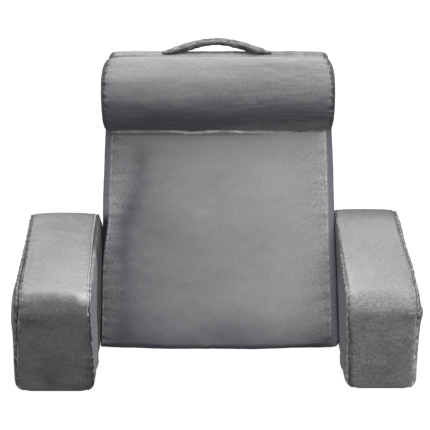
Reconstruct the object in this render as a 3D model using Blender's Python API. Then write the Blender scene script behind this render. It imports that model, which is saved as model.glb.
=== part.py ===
"""Reading pillow with arms: a leaning foam wedge, a neck roll, a carry handle and two box arms.

Metres, +Z up. The sitter faces -Y and leans back on the wedge's face, which leans towards +Y.
Sizes are laid out from the foot of the wedge's face, then the pillow is centred on its own footprint.
"""

import math
from collections import namedtuple

import bmesh
import bpy
from mathutils import Vector

Corner = namedtuple("Corner", "y z radius crown")  # crown: of the run to the next corner
Section = namedtuple("Section", "x inset swell scale")
RimPoint = namedtuple("RimPoint", "y z out_y out_z crown along")
SideLine = namedtuple("SideLine", "rear top bend foot")  # distances from the middle along an arm
ArmFit = namedtuple(
    "ArmFit", "name side forward rear_height inner_seam inner_panel outer_seam outer_panel phase"
)
Gathers = namedtuple("Gathers", "pitch lift spread")  # a seam's puckers, outwards and sideways

# --- The wedge that carries the sitter's back -------------------------------------------------
FACE_LEAN = math.radians(31)  # of the face, back from upright
WEDGE_HEIGHT = 0.500
WEDGE_DEPTH = 0.340  # of the base, from the foot of the face to the back panel
WEDGE_SEAM_X = 0.2145  # the seams between the face and the two side panels
WEDGE_SIDE_X = 0.2275  # how far the side panels swell out
WEDGE_TOP_DROP = 0.006  # the top strip slopes down this much towards the face
WEDGE_TAPER = 0.024  # share of the width lost at the top, where the side panels draw in
TAPER_FROM = 0.230  # height at which the side panels start to draw in
LEFT_DRAW = 0.0025  # the left side panel stands this much nearer to the middle
FOOT_SWELL = 0.0045  # the right one stands out this much more at the floor
FACE_CROWN = 0.014
BACK_CROWN = 0.008
TOE_REACH = 0.018  # the sharp toe of the foam, in front of the face's own plane
TOE_BOW = 0.009  # the toe bows further forward at mid-width

# --- The neck roll, sewn across the top of the face -------------------------------------------
ROLL_RADIUS = 0.0712
ROLL_SEAM_X = 0.2150  # the seams round the two end discs
ROLL_END_CROWN = 0.0095
ROLL_STANDS_OFF = 0.0620  # its axis from the face, so the roll is pressed flat there
ROLL_UP_FACE = 0.4835  # its axis from the foot, measured along the face
WELT_UP_FACE = 0.4205  # the seam that joins the roll's cover to the face
CROWN_UP_FACE = 0.4050  # the face is crowned up to here, and flat under the welt and the roll
WELT_RADIUS = 0.0024
WELT_HALF_LENGTH = 0.205

# --- The carry handle on the top strip --------------------------------------------------------
HANDLE_HALF_LENGTH = 0.109  # from its middle to the end of each sewn tab
HANDLE_TAB = 0.006  # length of each end that is sewn down flat
HANDLE_OFF_MIDDLE = -0.003  # the strap was sewn on a little to the left
HANDLE_WIDTH = 0.0225
HANDLE_PADDED_WIDTH = 0.0205
TAB_THICKNESS = 0.0042
HANDLE_TOP = 0.0296  # height of the arch's outside above the top strip
HANDLE_UNDER = 0.0185  # height of the arch's inside
HANDLE_FROM_BACK = 0.0262  # its middle line from the wedge's back panel

# --- The two arms -----------------------------------------------------------------------------
ARM_FRONT = 0.194  # in front of the foot of the wedge's face
ARM_REAR = 0.200  # behind it
ARM_FRONT_HEIGHT = 0.178
ARM_HALF_WIDTH = 0.0625  # of the band between the seams, before the seams bow
ARM_PANEL_SWELL = 0.0105  # of a side panel past its seam, before the seams bow
ARM_TOP_CROWN = 0.004
ARM_FRONT_CROWN = 0.005
ARM_CROSS_CROWN = 0.003  # the top also crowns from side to side
ARM_BEND_SWELL = 0.002  # the outer side swells a little more beside the bend at the front
ARM_FASTENED_BELOW = 0.150  # below this height the inner side is sewn to the wedge's side panel
ARM_FREE_AHEAD = 0.080  # from here on, in front of the face's foot, the inner side swells freely
AT_REAR, AT_TOP, AT_BEND, AT_FOOT = 0.300, 0.120, 0.0, -0.130  # ways back over the arm, or down its front

# --- Sewing -----------------------------------------------------------------------------------
SEAT_GAP = 0.0003  # between pieces that are sewn or pressed together
ROLL_GATHERS = Gathers(0.034, 0.0016, 0.0012)
ARM_GATHERS = Gathers(0.052, 0.0018, 0.0014)
WELT_WAVE = Gathers(0.150, 0.0022, 0.0)
WELT_SEGMENTS = 64
PLUSH_GREY = (0.215, 0.220, 0.226)
SEAM_GREY = (0.330, 0.335, 0.345)

# Neither arm is quite straight: the left one toes in and spreads at its foot.
ARMS = (
    ArmFit(
        name="arm_left",
        side=-1.0,
        forward=0.012,
        rear_height=0.2170,
        inner_seam=SideLine(0.2385, 0.2338, 0.2285, 0.2245),
        inner_panel=SideLine(0.2312, 0.2305, 0.2262, 0.2225),
        outer_seam=SideLine(0.3587, 0.3555, 0.3530, 0.3615),
        outer_panel=SideLine(0.3685, 0.3685, 0.3685, 0.3690),
        phase=0.4,
    ),
    ArmFit(
        name="arm_right",
        side=1.0,
        forward=0.0,
        rear_height=0.2210,
        inner_seam=SideLine(0.2290, 0.2368, 0.2320, 0.2370),
        inner_panel=SideLine(0.2282, 0.2300, 0.2275, 0.2290),
        outer_seam=SideLine(0.3475, 0.3540, 0.3540, 0.3550),
        outer_panel=SideLine(0.3570, 0.3620, 0.3625, 0.3605),
        phase=2.6,
    ),
)


def clear_scene():
    for obj in list(bpy.data.objects):
        bpy.data.objects.remove(obj, do_unlink=True)


def fabric(name, colour):
    """A plush cloth finish."""
    material = bpy.data.materials.new(name)
    material.use_nodes = True
    shader = material.node_tree.nodes["Principled BSDF"]
    shader.inputs["Base Color"].default_value = (*colour, 1.0)
    shader.inputs["Roughness"].default_value = 0.75
    shader.inputs["Metallic"].default_value = 0.0
    return material


def cloth_piece(name, bm, colour, collection, parent):
    """Makes the bmesh a smooth-shaded object of the pillow, in a cloth of its own."""
    bmesh.ops.recalc_face_normals(bm, faces=bm.faces)
    mesh = bpy.data.meshes.new(name)
    bm.to_mesh(mesh)
    bm.free()
    mesh.shade_smooth()
    mesh.materials.append(fabric(name + "_cloth", colour))
    obj = bpy.data.objects.new(name, mesh)
    obj.parent = parent
    collection.objects.link(obj)
    return obj


def rim(corners, spacing, arc_steps=4):
    """Points round a closed side profile with rounded corners, each with its outward direction.

    Straight runs are split about every `spacing`, and carry the crown that the cloth takes there.
    """
    count = len(corners)
    runs = []
    for i, corner in enumerate(corners):
        after = corners[(i + 1) % count]
        runs.append(Vector((after.y - corner.y, after.z - corner.z)).normalized())
    trims = []
    for i, corner in enumerate(corners):
        turn = runs[i - 1].angle(runs[i])
        trims.append(corner.radius * math.tan(turn / 2))
    points = []
    along = 0.0
    for i, corner in enumerate(corners):
        into, out_of = runs[i - 1], runs[i]
        start = Vector((corner.y, corner.z)) - into * trims[i]
        centre = start + Vector((-into.y, into.x)) * corner.radius
        first = math.atan2(-into.x, into.y)
        turn = into.angle(out_of)
        shares = [step / arc_steps for step in range(arc_steps + 1)] if corner.radius > 0 else [0.5]
        for share in shares:
            angle = first + turn * share
            out = Vector((math.cos(angle), math.sin(angle)))
            at = centre + out * corner.radius
            points.append(RimPoint(at.x, at.y, out.x, out.y, 0.0, along + corner.radius * turn * share))
        along += corner.radius * turn
        after = corners[(i + 1) % count]
        begin = Vector((corner.y, corner.z)) + out_of * trims[i]
        end = Vector((after.y, after.z)) - out_of * trims[(i + 1) % count]
        length = (end - begin).length
        steps = max(1, round(length / spacing))
        out = Vector((out_of.y, -out_of.x))
        for step in range(1, steps):
            t = step / steps
            at = begin.lerp(end, t)
            crown = corner.crown * 4 * t * (1 - t)
            points.append(RimPoint(at.x, at.y, out.x, out.y, crown, along + length * t))
        along += length
    return points


def round_rim(radius, count):
    """Points round a circle about the origin."""
    points = []
    for k in range(count):
        angle = math.tau * k / count
        out = Vector((math.cos(angle), math.sin(angle)))
        at = out * radius
        points.append(RimPoint(at.x, at.y, out.x, out.y, 0.0, radius * angle))
    return points


def filled_form(outline, centre, half, uneven, settle):
    """A stuffed form: the outline is carried along X, from one end panel through the middle to the other.

    `half` holds the sections from the middle to the +X end. Each says how far the rim is drawn in there,
    what share of its crown it takes, and its scale about `centre`. `uneven` is the share by which the
    crown varies. `settle` moves each finished point to where the cloth rests.
    """
    sections = [Section(-s.x, s.inset, s.swell, s.scale) for s in reversed(half[1:])] + list(half)

    def place(panel, section):
        for vertex, point in zip(panel.verts, outline):
            wave = math.sin(point.along / 0.017 + section.x / 0.030)
            out = point.crown * section.swell * (1 + uneven * wave) - section.inset
            y = centre[0] + (point.y + point.out_y * out - centre[0]) * section.scale
            z = centre[1] + (point.z + point.out_z * out - centre[1]) * section.scale
            vertex.co = settle(Vector((section.x, y, z)), point)

    bm = bmesh.new()
    first_ring = [bm.verts.new((0.0, p.y, p.z)) for p in outline]
    panel = bm.faces.new(first_ring)
    place(panel, sections[0])
    for section in sections[1:]:
        panel = bmesh.ops.extrude_discrete_faces(bm, faces=[panel])["faces"][0]
        place(panel, section)
    bm.faces.new(first_ring)
    return bm


def smooth_step(t):
    t = min(1.0, max(0.0, t))
    return t * t * (3 - 2 * t)


def pucker(along, pitch, phase):
    """Uneven gathers along a seam, from -1 to 1."""
    turn = math.tau * along / pitch
    return 0.6 * math.sin(turn + phase) + 0.4 * math.sin(1.63 * turn + 2.1 * phase)


def wedge_side(side, z):
    """How far the wedge's left or right side panel stands out at a height, below where it draws in."""
    if side < 0:
        return WEDGE_SIDE_X - LEFT_DRAW
    return WEDGE_SIDE_X + FOOT_SWELL * max(0.0, 1 - z / TAPER_FROM)


def back_wedge(collection, parent):
    """The foam wedge: its face is crowned up to the roll's seam and flat under the roll."""
    top_front_z = WEDGE_HEIGHT - WEDGE_TOP_DROP
    crown_top = (CROWN_UP_FACE * math.sin(FACE_LEAN), CROWN_UP_FACE * math.cos(FACE_LEAN))
    corners = (
        Corner(-TOE_REACH, 0.0, 0.006, 0.0),
        Corner(WEDGE_DEPTH, 0.0, 0.020, BACK_CROWN),
        Corner(WEDGE_DEPTH, WEDGE_HEIGHT, 0.012, 0.0),
        Corner(top_front_z * math.tan(FACE_LEAN), top_front_z, 0.016, 0.0),
        Corner(crown_top[0], crown_top[1], 0.0, FACE_CROWN),
    )
    outline = rim(corners, spacing=0.034)
    centre = (WEDGE_DEPTH * 0.62, WEDGE_HEIGHT * 0.36)
    seam, side = WEDGE_SEAM_X, WEDGE_SIDE_X
    half = (
        Section(0.0, 0.0, 1.0, 1.0),
        Section(0.3 * seam, 0.0, 0.93, 1.0),
        Section(0.6 * seam, 0.0, 0.72, 1.0),
        Section(0.84 * seam, 0.0, 0.40, 1.0),
        Section(0.96 * seam, 0.0, 0.10, 1.0),
        Section(seam, 0.0015, 0.0, 1.0),
        Section(seam + 0.60 * (side - seam), 0.0, 0.0, 0.990),
        Section(side - 0.0012, 0.0, 0.0, 0.965),
        Section(side, 0.0, 0.0, 0.88),
        Section(side, 0.0, 0.0, 0.45),
    )

    def settle(co, point):
        taper = 1 - WEDGE_TAPER * smooth_step((co.z - TAPER_FROM) / (WEDGE_HEIGHT - TAPER_FROM))
        co.x *= taper
        co.x *= wedge_side(co.x, co.z) / WEDGE_SIDE_X
        across = 1 - (co.x / WEDGE_SEAM_X) ** 2
        toe = smooth_step(1 - co.z / 0.12) * smooth_step(1 - co.y / 0.10)
        co.y -= TOE_BOW * toe * max(0.0, across)
        co.z = max(0.0, co.z)
        return co

    bm = filled_form(outline, centre, half, 0.05, settle)
    return cloth_piece("back_wedge", bm, PLUSH_GREY, collection, parent)


def neck_roll(collection, parent):
    """The roll pillow, with puckered end seams, pressed flat where it lies on the wedge's face."""
    outline = round_rim(ROLL_RADIUS, 36)
    seam, end = ROLL_SEAM_X, ROLL_SEAM_X + ROLL_END_CROWN
    half = (
        Section(0.0, 0.0, 0.0, 1.0),
        Section(0.35 * seam, 0.0, 0.0, 1.0),
        Section(0.65 * seam, 0.0006, 0.0, 1.0),
        Section(0.86 * seam, 0.0012, 0.0, 1.0),
        Section(0.95 * seam, 0.0028, 0.0, 1.0),
        Section(seam - 0.003, 0.0055, 0.0, 1.0),
        Section(seam + 0.001, 0.0038, 0.0, 1.0),
        Section(seam + 0.0045, 0.0080, 0.0, 1.0),
        Section(end - 0.0018, 0.0, 0.0, 0.72),
        Section(end, 0.0, 0.0, 0.38),
    )

    def settle(co, point):
        at_seam = math.exp(-(((abs(co.x) - seam) / 0.010) ** 2))
        side = 1.0 if co.x > 0 else -1.0
        gather = at_seam * pucker(point.along, ROLL_GATHERS.pitch, 1.0 + side)
        co += Vector((0.0, point.out_y, point.out_z)) * (ROLL_GATHERS.lift * gather)
        co.x += side * ROLL_GATHERS.spread * gather
        co.y = min(co.y, ROLL_STANDS_OFF - SEAT_GAP)
        return co

    bm = filled_form(outline, (0.0, 0.0), half, 0.0, settle)
    roll = cloth_piece("neck_roll", bm, PLUSH_GREY, collection, parent)
    up_y, up_z = math.sin(FACE_LEAN), math.cos(FACE_LEAN)
    roll.location = (
        0.0,
        ROLL_UP_FACE * up_y - ROLL_STANDS_OFF * up_z,
        ROLL_UP_FACE * up_z + ROLL_STANDS_OFF * up_y,
    )
    roll.rotation_euler.x = -FACE_LEAN
    return roll


def roll_welt(collection, parent):
    """The narrow welt that joins the roll's cover to the face, just below the roll."""
    curve = bpy.data.curves.new("roll_welt", "CURVE")
    curve.dimensions = "3D"
    curve.bevel_depth = WELT_RADIUS
    curve.bevel_resolution = 1
    curve.use_fill_caps = True
    spline = curve.splines.new("POLY")
    spline.points.add(WELT_SEGMENTS)
    for k, point in enumerate(spline.points):
        x = WELT_HALF_LENGTH * (2 * k / WELT_SEGMENTS - 1)
        up = WELT_WAVE.lift * pucker(x, WELT_WAVE.pitch, 0.7)
        point.co = (x, 0.0, up, 1.0)
    welt = bpy.data.objects.new("roll_welt", curve)
    curve.materials.append(fabric("roll_welt_cloth", SEAM_GREY))
    welt.parent = parent
    stands_off = WELT_RADIUS + SEAT_GAP
    up_y, up_z = math.sin(FACE_LEAN), math.cos(FACE_LEAN)
    welt.location = (
        0.0,
        WELT_UP_FACE * up_y - stands_off * up_z,
        WELT_UP_FACE * up_z + stands_off * up_y,
    )
    welt.rotation_euler.x = -FACE_LEAN
    collection.objects.link(welt)
    return welt


def carry_handle(collection, parent):
    """The soft strap: flat sewn ends, and a padded arch between them."""
    bm = bmesh.new()
    bmesh.ops.create_cube(bm, size=2.0)
    lengthwise = [e for e in bm.edges if abs(e.verts[0].co.x - e.verts[1].co.x) > 1]
    bmesh.ops.subdivide_edges(bm, edges=lengthwise, cuts=29)
    crosswise = [e for e in bm.edges if abs(e.verts[0].co.y - e.verts[1].co.y) > 1]
    bmesh.ops.subdivide_edges(bm, edges=crosswise, cuts=3, use_grid_fill=True)
    strip_front_y = (WEDGE_HEIGHT - WEDGE_TOP_DROP) * math.tan(FACE_LEAN)
    strip_slope = WEDGE_TOP_DROP / (WEDGE_DEPTH - strip_front_y)
    strap_y = WEDGE_DEPTH - HANDLE_FROM_BACK
    arch_share = 1 - HANDLE_TAB / HANDLE_HALF_LENGTH
    for vertex in bm.verts:
        along, across, level = vertex.co
        arch = math.cos(min(1.0, abs(along) / arch_share) * math.pi / 2)
        top = TAB_THICKNESS + (HANDLE_TOP - TAB_THICKNESS) * arch
        under = HANDLE_UNDER * arch**2.4
        padding = smooth_step(arch * 2)
        width = HANDLE_WIDTH + (HANDLE_PADDED_WIDTH - HANDLE_WIDTH) * padding
        rounding = 1 - abs(across) ** 3 * (0.25 + 0.35 * padding)
        y = across * width / 2
        seat = SEAT_GAP + strip_slope * y
        z = seat + (top + under) / 2 + level * rounding * (top - under) / 2
        vertex.co = Vector((along * HANDLE_HALF_LENGTH, y, z))
    strap = cloth_piece("carry_handle", bm, PLUSH_GREY, collection, parent)
    strap.location = (HANDLE_OFF_MIDDLE, strap_y, WEDGE_HEIGHT - strip_slope * HANDLE_FROM_BACK)
    return strap


def side_distance(line, way):
    """How far from the middle a seam or a side panel lies, a way back or down from the arm's bend."""
    stops = ((AT_FOOT, line.foot), (AT_BEND, line.bend), (AT_TOP, line.top), (AT_REAR, line.rear))
    for (low, start), (high, finish) in zip(stops, stops[1:]):
        if way < high:
            return start + (finish - start) * smooth_step((way - low) / (high - low))
    return line.rear


def arm(fit, collection, parent):
    """A box arm: one band goes over its top and down its front, between two puckered side seams."""
    front, rear = -ARM_FRONT - fit.forward, ARM_REAR - fit.forward
    corners = (
        Corner(front, 0.0, 0.011, 0.0),
        Corner(rear, 0.0, 0.018, 0.004),
        Corner(rear, fit.rear_height, 0.040, ARM_TOP_CROWN),
        Corner(front, ARM_FRONT_HEIGHT, 0.046, ARM_FRONT_CROWN),
    )
    outline = rim(corners, spacing=0.024)
    centre = (0.0, ARM_FRONT_HEIGHT * 0.52)
    seam = ARM_HALF_WIDTH
    end = seam + ARM_PANEL_SWELL
    half = (
        Section(0.0, 0.0, 1.0, 1.0),
        Section(0.42 * seam, 0.0, 0.86, 1.0),
        Section(0.74 * seam, 0.0006, 0.50, 1.0),
        Section(0.91 * seam, 0.0022, 0.16, 1.0),
        Section(seam, 0.0, 0.0, 1.0),
        Section(seam + 0.0058, 0.0026, 0.0, 1.0),
        Section(end - 0.0012, 0.0075, 0.0, 1.0),
        Section(end, 0.0, 0.0, 0.80),
        Section(end, 0.0, 0.0, 0.40),
    )

    def settle(co, point):
        way = co.y - front - max(0.0, ARM_FRONT_HEIGHT - co.z)
        inner, outer = side_distance(fit.inner_seam, way), side_distance(fit.outer_seam, way)
        swollen = max(0.0, abs(co.x) - seam) / ARM_PANEL_SWELL
        if swollen == 0:
            x = inner + (outer - inner) * (1 + co.x / seam) / 2
        elif co.x > 0:
            at_bend = math.exp(-(((co.z - 0.80 * ARM_FRONT_HEIGHT) / 0.030) ** 2))
            panel = side_distance(fit.outer_panel, way)
            panel += ARM_BEND_SWELL * at_bend * smooth_step(-co.y / ARM_FRONT)
            x = outer + (panel - outer) * swollen
        else:
            x = inner + (side_distance(fit.inner_panel, way) - inner) * swollen
        ahead_of_wedge = smooth_step((-ARM_FREE_AHEAD - co.y) / 0.060)
        nearest = wedge_side(fit.side, co.z) + SEAT_GAP - ARM_PANEL_SWELL * 1.6 * ahead_of_wedge
        if swollen and co.x < 0:
            fastened = smooth_step((ARM_FASTENED_BELOW - co.z) / 0.060) * (1 - ahead_of_wedge)
            x += (nearest - x) * swollen * fastened
        at_seam = math.exp(-(((abs(co.x) - seam) / 0.009) ** 2)) * smooth_step((co.z - 0.002) / 0.010)
        phase = fit.phase + (1.3 if co.x > 0 else 0.0)
        gather = at_seam * pucker(point.along, ARM_GATHERS.pitch, phase)
        across = max(0.0, 1 - (co.x / seam) ** 2)
        co += Vector((0.0, point.out_y, point.out_z)) * (ARM_GATHERS.lift * gather)
        co.z += ARM_CROSS_CROWN * across * smooth_step((co.z - 0.150) / 0.050)
        x += math.copysign(ARM_GATHERS.spread * gather, co.x)
        co.x = fit.side * max(x, nearest)
        co.z = max(0.0, co.z)
        return co

    bm = filled_form(outline, centre, half, 0.30, settle)
    return cloth_piece(fit.name, bm, PLUSH_GREY, collection, parent)


def reading_pillow():
    clear_scene()
    collection = bpy.data.collections.new("reading_pillow")
    bpy.context.scene.collection.children.link(collection)
    footprint = bpy.data.objects.new("footprint_centre", None)
    front = -ARM_FRONT - ARM_FRONT_CROWN - max(fit.forward for fit in ARMS)
    back = WEDGE_DEPTH + BACK_CROWN
    left_end, right_end = (max(fit.outer_panel) for fit in ARMS)
    footprint.location = ((left_end - right_end) / 2, -(front + back) / 2, 0.0)
    collection.objects.link(footprint)

    back_wedge(collection, footprint)
    neck_roll(collection, footprint)
    roll_welt(collection, footprint)
    carry_handle(collection, footprint)
    for fit in ARMS:
        arm(fit, collection, footprint)


reading_pillow()
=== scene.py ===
"""Looks of a grey plush reading pillow with arms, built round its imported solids.

The covers are lofted on the solids' own sizes, filled by a short cloth simulation, and then gathered at their
seams. Metres, +Z up; the sitter faces -Y.
"""

import logging
import math
import random
from collections.abc import Callable, Sequence
from dataclasses import dataclass

import bmesh
import bpy
import numpy as np
from mathutils import Matrix, Vector, noise


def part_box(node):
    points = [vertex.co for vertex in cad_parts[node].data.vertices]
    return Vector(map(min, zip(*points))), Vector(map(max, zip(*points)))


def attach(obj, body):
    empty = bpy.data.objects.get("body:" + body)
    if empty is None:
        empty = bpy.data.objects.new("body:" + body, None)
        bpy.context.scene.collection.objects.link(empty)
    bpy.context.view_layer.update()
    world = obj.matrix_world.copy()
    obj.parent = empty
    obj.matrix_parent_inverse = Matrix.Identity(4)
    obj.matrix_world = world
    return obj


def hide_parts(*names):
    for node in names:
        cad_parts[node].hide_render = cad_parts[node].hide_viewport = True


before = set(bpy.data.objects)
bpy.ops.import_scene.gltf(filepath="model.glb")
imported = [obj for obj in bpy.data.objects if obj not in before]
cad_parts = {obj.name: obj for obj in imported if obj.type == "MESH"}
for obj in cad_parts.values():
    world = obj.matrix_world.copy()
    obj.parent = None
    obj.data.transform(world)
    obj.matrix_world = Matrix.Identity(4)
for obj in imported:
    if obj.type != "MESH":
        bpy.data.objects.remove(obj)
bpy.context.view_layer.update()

BODY = "root"
PLUSH_SLOT = "plush_cover"
CLOTH_UV = "cloth"
TONE = "tone"
SMOOTH = "smooth"
BRISTLE = "bristle"
# How far below the darkest colour the tone may reach, for painted shade in crevices.
DEEPEST = 0.055
LOG = logging.getLogger("reading_pillow")

Colour = tuple[float, float, float]
Settle = Callable[[Vector, "RimPoint"], Vector]


# --- Small sums ---------------------------------------------------------------------------------


def smooth_step(t: float) -> float:
    """Eases from 0 to 1 as t does."""
    t = min(1.0, max(0.0, t))
    return t * t * (3 - 2 * t)


def eased(t: np.ndarray) -> np.ndarray:
    """Eases a whole array from 0 to 1."""
    t = np.clip(t, 0.0, 1.0)
    return t * t * (3 - 2 * t)


def bell(distance: np.ndarray, width: float) -> np.ndarray:
    """A bump of height 1 at distance 0 that has died away at about twice its width."""
    return np.exp(-((distance / width) ** 2))


# --- Finishes -----------------------------------------------------------------------------------


class ShaderGraph:
    """Adds and joins the nodes of one material."""

    def __init__(self, name: str) -> None:
        """Starts a material that holds a Principled shader.

        Args:
            name: the material's name.
        """
        self.material = bpy.data.materials.new(name)
        self.material.use_nodes = True
        self.tree = self.material.node_tree
        self.shader = self.tree.nodes["Principled BSDF"]

    def node(self, kind: str, **settings: object) -> bpy.types.Node:
        """Adds a node.

        Args:
            kind: the node's type name.
            settings: values for its properties.

        Returns:
            The new node.
        """
        made = self.tree.nodes.new(kind)
        for name, value in settings.items():
            setattr(made, name, value)
        return made

    def join(self, source: bpy.types.NodeSocket, target: bpy.types.NodeSocket) -> None:
        """Links one socket to another."""
        self.tree.links.new(source, target)

    def scaled(self, vector: bpy.types.NodeSocket, scale: Sequence[float]) -> bpy.types.NodeSocket:
        """Stretches a pattern's coordinates.

        Args:
            vector: the coordinates.
            scale: repeats per metre along each of them.

        Returns:
            The stretched coordinates.
        """
        mapping = self.node("ShaderNodeMapping")
        mapping.inputs["Scale"].default_value = scale
        self.join(vector, mapping.inputs["Vector"])
        return mapping.outputs["Vector"]

    def grain(self, vector: bpy.types.NodeSocket, detail: float, roughness: float) -> bpy.types.NodeSocket:
        """Noise at a scale of one on the given coordinates.

        Args:
            vector: the coordinates.
            detail: octaves.
            roughness: how strong the fine octaves are.

        Returns:
            The noise, about 0.5 on average.
        """
        made = self.node("ShaderNodeTexNoise")
        made.inputs["Scale"].default_value = 1.0
        made.inputs["Detail"].default_value = detail
        made.inputs["Roughness"].default_value = roughness
        self.join(vector, made.inputs["Vector"])
        return made.outputs[0]

    def wandering(self, vector: bpy.types.NodeSocket, scale: float, reach: float) -> bpy.types.NodeSocket:
        """Bends a pattern's coordinates, so that its strokes don't run dead straight.

        Args:
            vector: the coordinates.
            scale: bends per metre.
            reach: how far they are shifted.

        Returns:
            The bent coordinates.
        """
        made = self.node("ShaderNodeTexNoise")
        made.inputs["Scale"].default_value = scale
        made.inputs["Detail"].default_value = 2.0
        self.join(vector, made.inputs["Vector"])
        shift = self.node("ShaderNodeVectorMath", operation="MULTIPLY_ADD")
        self.join(made.outputs["Color"], shift.inputs[0])
        shift.inputs[1].default_value = (2 * reach, 2 * reach, 0.0)
        self.join(vector, shift.inputs[2])
        return shift.outputs["Vector"]

    def sum_of(
        self, terms: Sequence[tuple[bpy.types.NodeSocket, float]], start: float
    ) -> bpy.types.NodeSocket:
        """Adds weighted values.

        Args:
            terms: each value and its weight.
            start: where the sum starts.

        Returns:
            The sum.
        """
        total = None
        for value, weight in terms:
            step = self.node("ShaderNodeMath", operation="MULTIPLY_ADD")
            self.join(value, step.inputs[0])
            step.inputs[1].default_value = weight
            step.inputs[2].default_value = start
            if total is not None:
                self.join(total, step.inputs[2])
            total = step.outputs[0]
        return total

    def blend(self, factor: bpy.types.NodeSocket, low: Colour, high: Colour) -> bpy.types.NodeSocket:
        """Mixes two colours by a value from 0 to 1, and goes on a little past them where the value does.

        Args:
            factor: the value.
            low: the colour at 0.
            high: the colour at 1.

        Returns:
            The mixed colour.
        """
        made = self.node("ShaderNodeMix", data_type="RGBA", clamp_factor=False, clamp_result=True)
        made.inputs[6].default_value = (*low, 1.0)
        made.inputs[7].default_value = (*high, 1.0)
        self.join(factor, made.inputs[0])
        return made.outputs[2]


@dataclass(frozen=True)
class Shades:
    """The darkest and the lightest colours of a cloth, between which its painted light and shade and its
    pile's own patches are mixed.
    """

    dark: Colour
    light: Colour


# Each pair is mixed by the tone attribute, which carries painted light and shade as well as the pile's own
# patches and streaks.
PILE = Shades((0.034, 0.0352, 0.043), (0.580, 0.580, 0.587))
ARM_PILE = Shades((0.0345, 0.0350, 0.0380), (0.580, 0.580, 0.580))
# The side panels' purplish colours stand partly for a smoother cloth and partly for painted sheen of the
# plush seen at a grazing angle.
SLATE = Shades((0.034, 0.033, 0.040), (0.300, 0.293, 0.335))
# The welt's light colours stand partly for its frayed cloth and partly for painted light that its fuzz
# catches.
FRAYED = Shades((0.060, 0.061, 0.066), (0.700, 0.706, 0.716))


@dataclass(frozen=True)
class Plush:
    """A short brushed pile, with strokes one way, patches where it is laid flat, and a sheen at grazing
    angles.
    """

    name: str
    strokes: tuple[float, float, float]
    patches: tuple[float, float, float]
    stroke_share: float = 0.50
    patch_share: float = 0.14
    shades: Shades = PILE
    smooth_shades: Shades = SLATE
    sheen: float = 0.12
    sheen_spread: float = 0.5
    relief: float = 0.0006
    bends: float = 22.0
    wander: float = 0.010

    def material(self) -> bpy.types.Material:
        """Builds the finish.

        Returns:
            The material, on the piece's own cloth coordinates and on the painted light and shade that its
            tone attribute carries.
        """
        graph = ShaderGraph(self.name)
        flat_cloth = graph.node("ShaderNodeUVMap", uv_map=CLOTH_UV).outputs["UV"]
        cloth = graph.wandering(flat_cloth, self.bends, self.wander)
        strokes = graph.grain(graph.scaled(cloth, self.strokes), 3.0, 0.62)
        patches = graph.grain(graph.scaled(cloth, self.patches), 4.0, 0.55)
        pile = graph.grain(graph.scaled(cloth, (700.0, 700.0, 1.0)), 2.0, 0.6)
        tone, smooth, bristle = (
            graph.node("ShaderNodeAttribute", attribute_name=name).outputs["Fac"]
            for name in (TONE, SMOOTH, BRISTLE)
        )
        # The tone attribute carries the painted light and shade; the patches are the pile's own.
        painted_light_and_patches = graph.sum_of([(patches, 2 * self.patch_share), (tone, 1.0)], -self.patch_share)
        brushed = graph.blend(painted_light_and_patches, self.shades.dark, self.shades.light)
        sleek = graph.blend(painted_light_and_patches, self.smooth_shades.dark, self.smooth_shades.light)
        either = graph.node("ShaderNodeMix", data_type="RGBA")
        graph.join(smooth, either.inputs[0])
        graph.join(brushed, either.inputs[6])
        graph.join(sleek, either.inputs[7])
        ruffled = graph.node("ShaderNodeMath", operation="MULTIPLY_ADD")
        graph.join(strokes, ruffled.inputs[0])
        ruffled.inputs[1].default_value = 2 * self.stroke_share
        ruffled.inputs[2].default_value = -self.stroke_share
        lit = graph.node("ShaderNodeMath", operation="MULTIPLY_ADD")
        graph.join(ruffled.outputs[0], lit.inputs[0])
        graph.join(bristle, lit.inputs[1])
        lit.inputs[2].default_value = 1.0
        colour = graph.node("ShaderNodeVectorMath", operation="SCALE")
        graph.join(either.outputs[2], colour.inputs[0])
        graph.join(lit.outputs[0], colour.inputs["Scale"])
        graph.join(colour.outputs["Vector"], graph.shader.inputs["Base Color"])
        height = graph.sum_of([(strokes, 0.6), (pile, 0.4)], 0.0)
        bump = graph.node("ShaderNodeBump")
        bump.inputs["Strength"].default_value = 0.8
        bump.inputs["Distance"].default_value = self.relief
        graph.join(height, bump.inputs["Height"])
        graph.join(bump.outputs["Normal"], graph.shader.inputs["Normal"])
        graph.shader.inputs["Roughness"].default_value = 0.9
        graph.shader.inputs["Specular IOR Level"].default_value = 0.15
        graph.shader.inputs["Sheen Weight"].default_value = self.sheen
        graph.shader.inputs["Sheen Roughness"].default_value = self.sheen_spread
        graph.shader.inputs["Sheen Tint"].default_value = (0.97, 0.98, 1.0, 1.0)
        return graph.material


BAND_PLUSH = Plush("plush_face", (260.0, 230.0, 1.0), (9.0, 12.0, 1.0), 0.50, 0.05)
ARM_PLUSH = Plush("plush_arm", (320.0, 150.0, 1.0), (26.0, 14.0, 1.0), 0.45, 0.08, ARM_PILE)
ROLL_PLUSH = Plush("plush_across", (120.0, 420.0, 1.0), (40.0, 7.0, 1.0), 0.50, 0.07)
PANEL_PLUSH = Plush("plush_side_panel", (260.0, 260.0, 1.0), (16.0, 16.0, 1.0), 0.40, 0.06)
STRAP_PLUSH = Plush("plush_strap", (90.0, 500.0, 1.0), (40.0, 150.0, 1.0), 0.70, 0.25)
SEAM_PLUSH = Plush("plush_seam", (300.0, 500.0, 1.0), (24.0, 90.0, 1.0), 0.8, 0.40, FRAYED)


def elevations(normals: np.ndarray) -> np.ndarray:
    """How many degrees each outward direction points above the level."""
    return np.degrees(np.arcsin(np.clip(normals[:, 2], -1.0, 1.0)))


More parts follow.
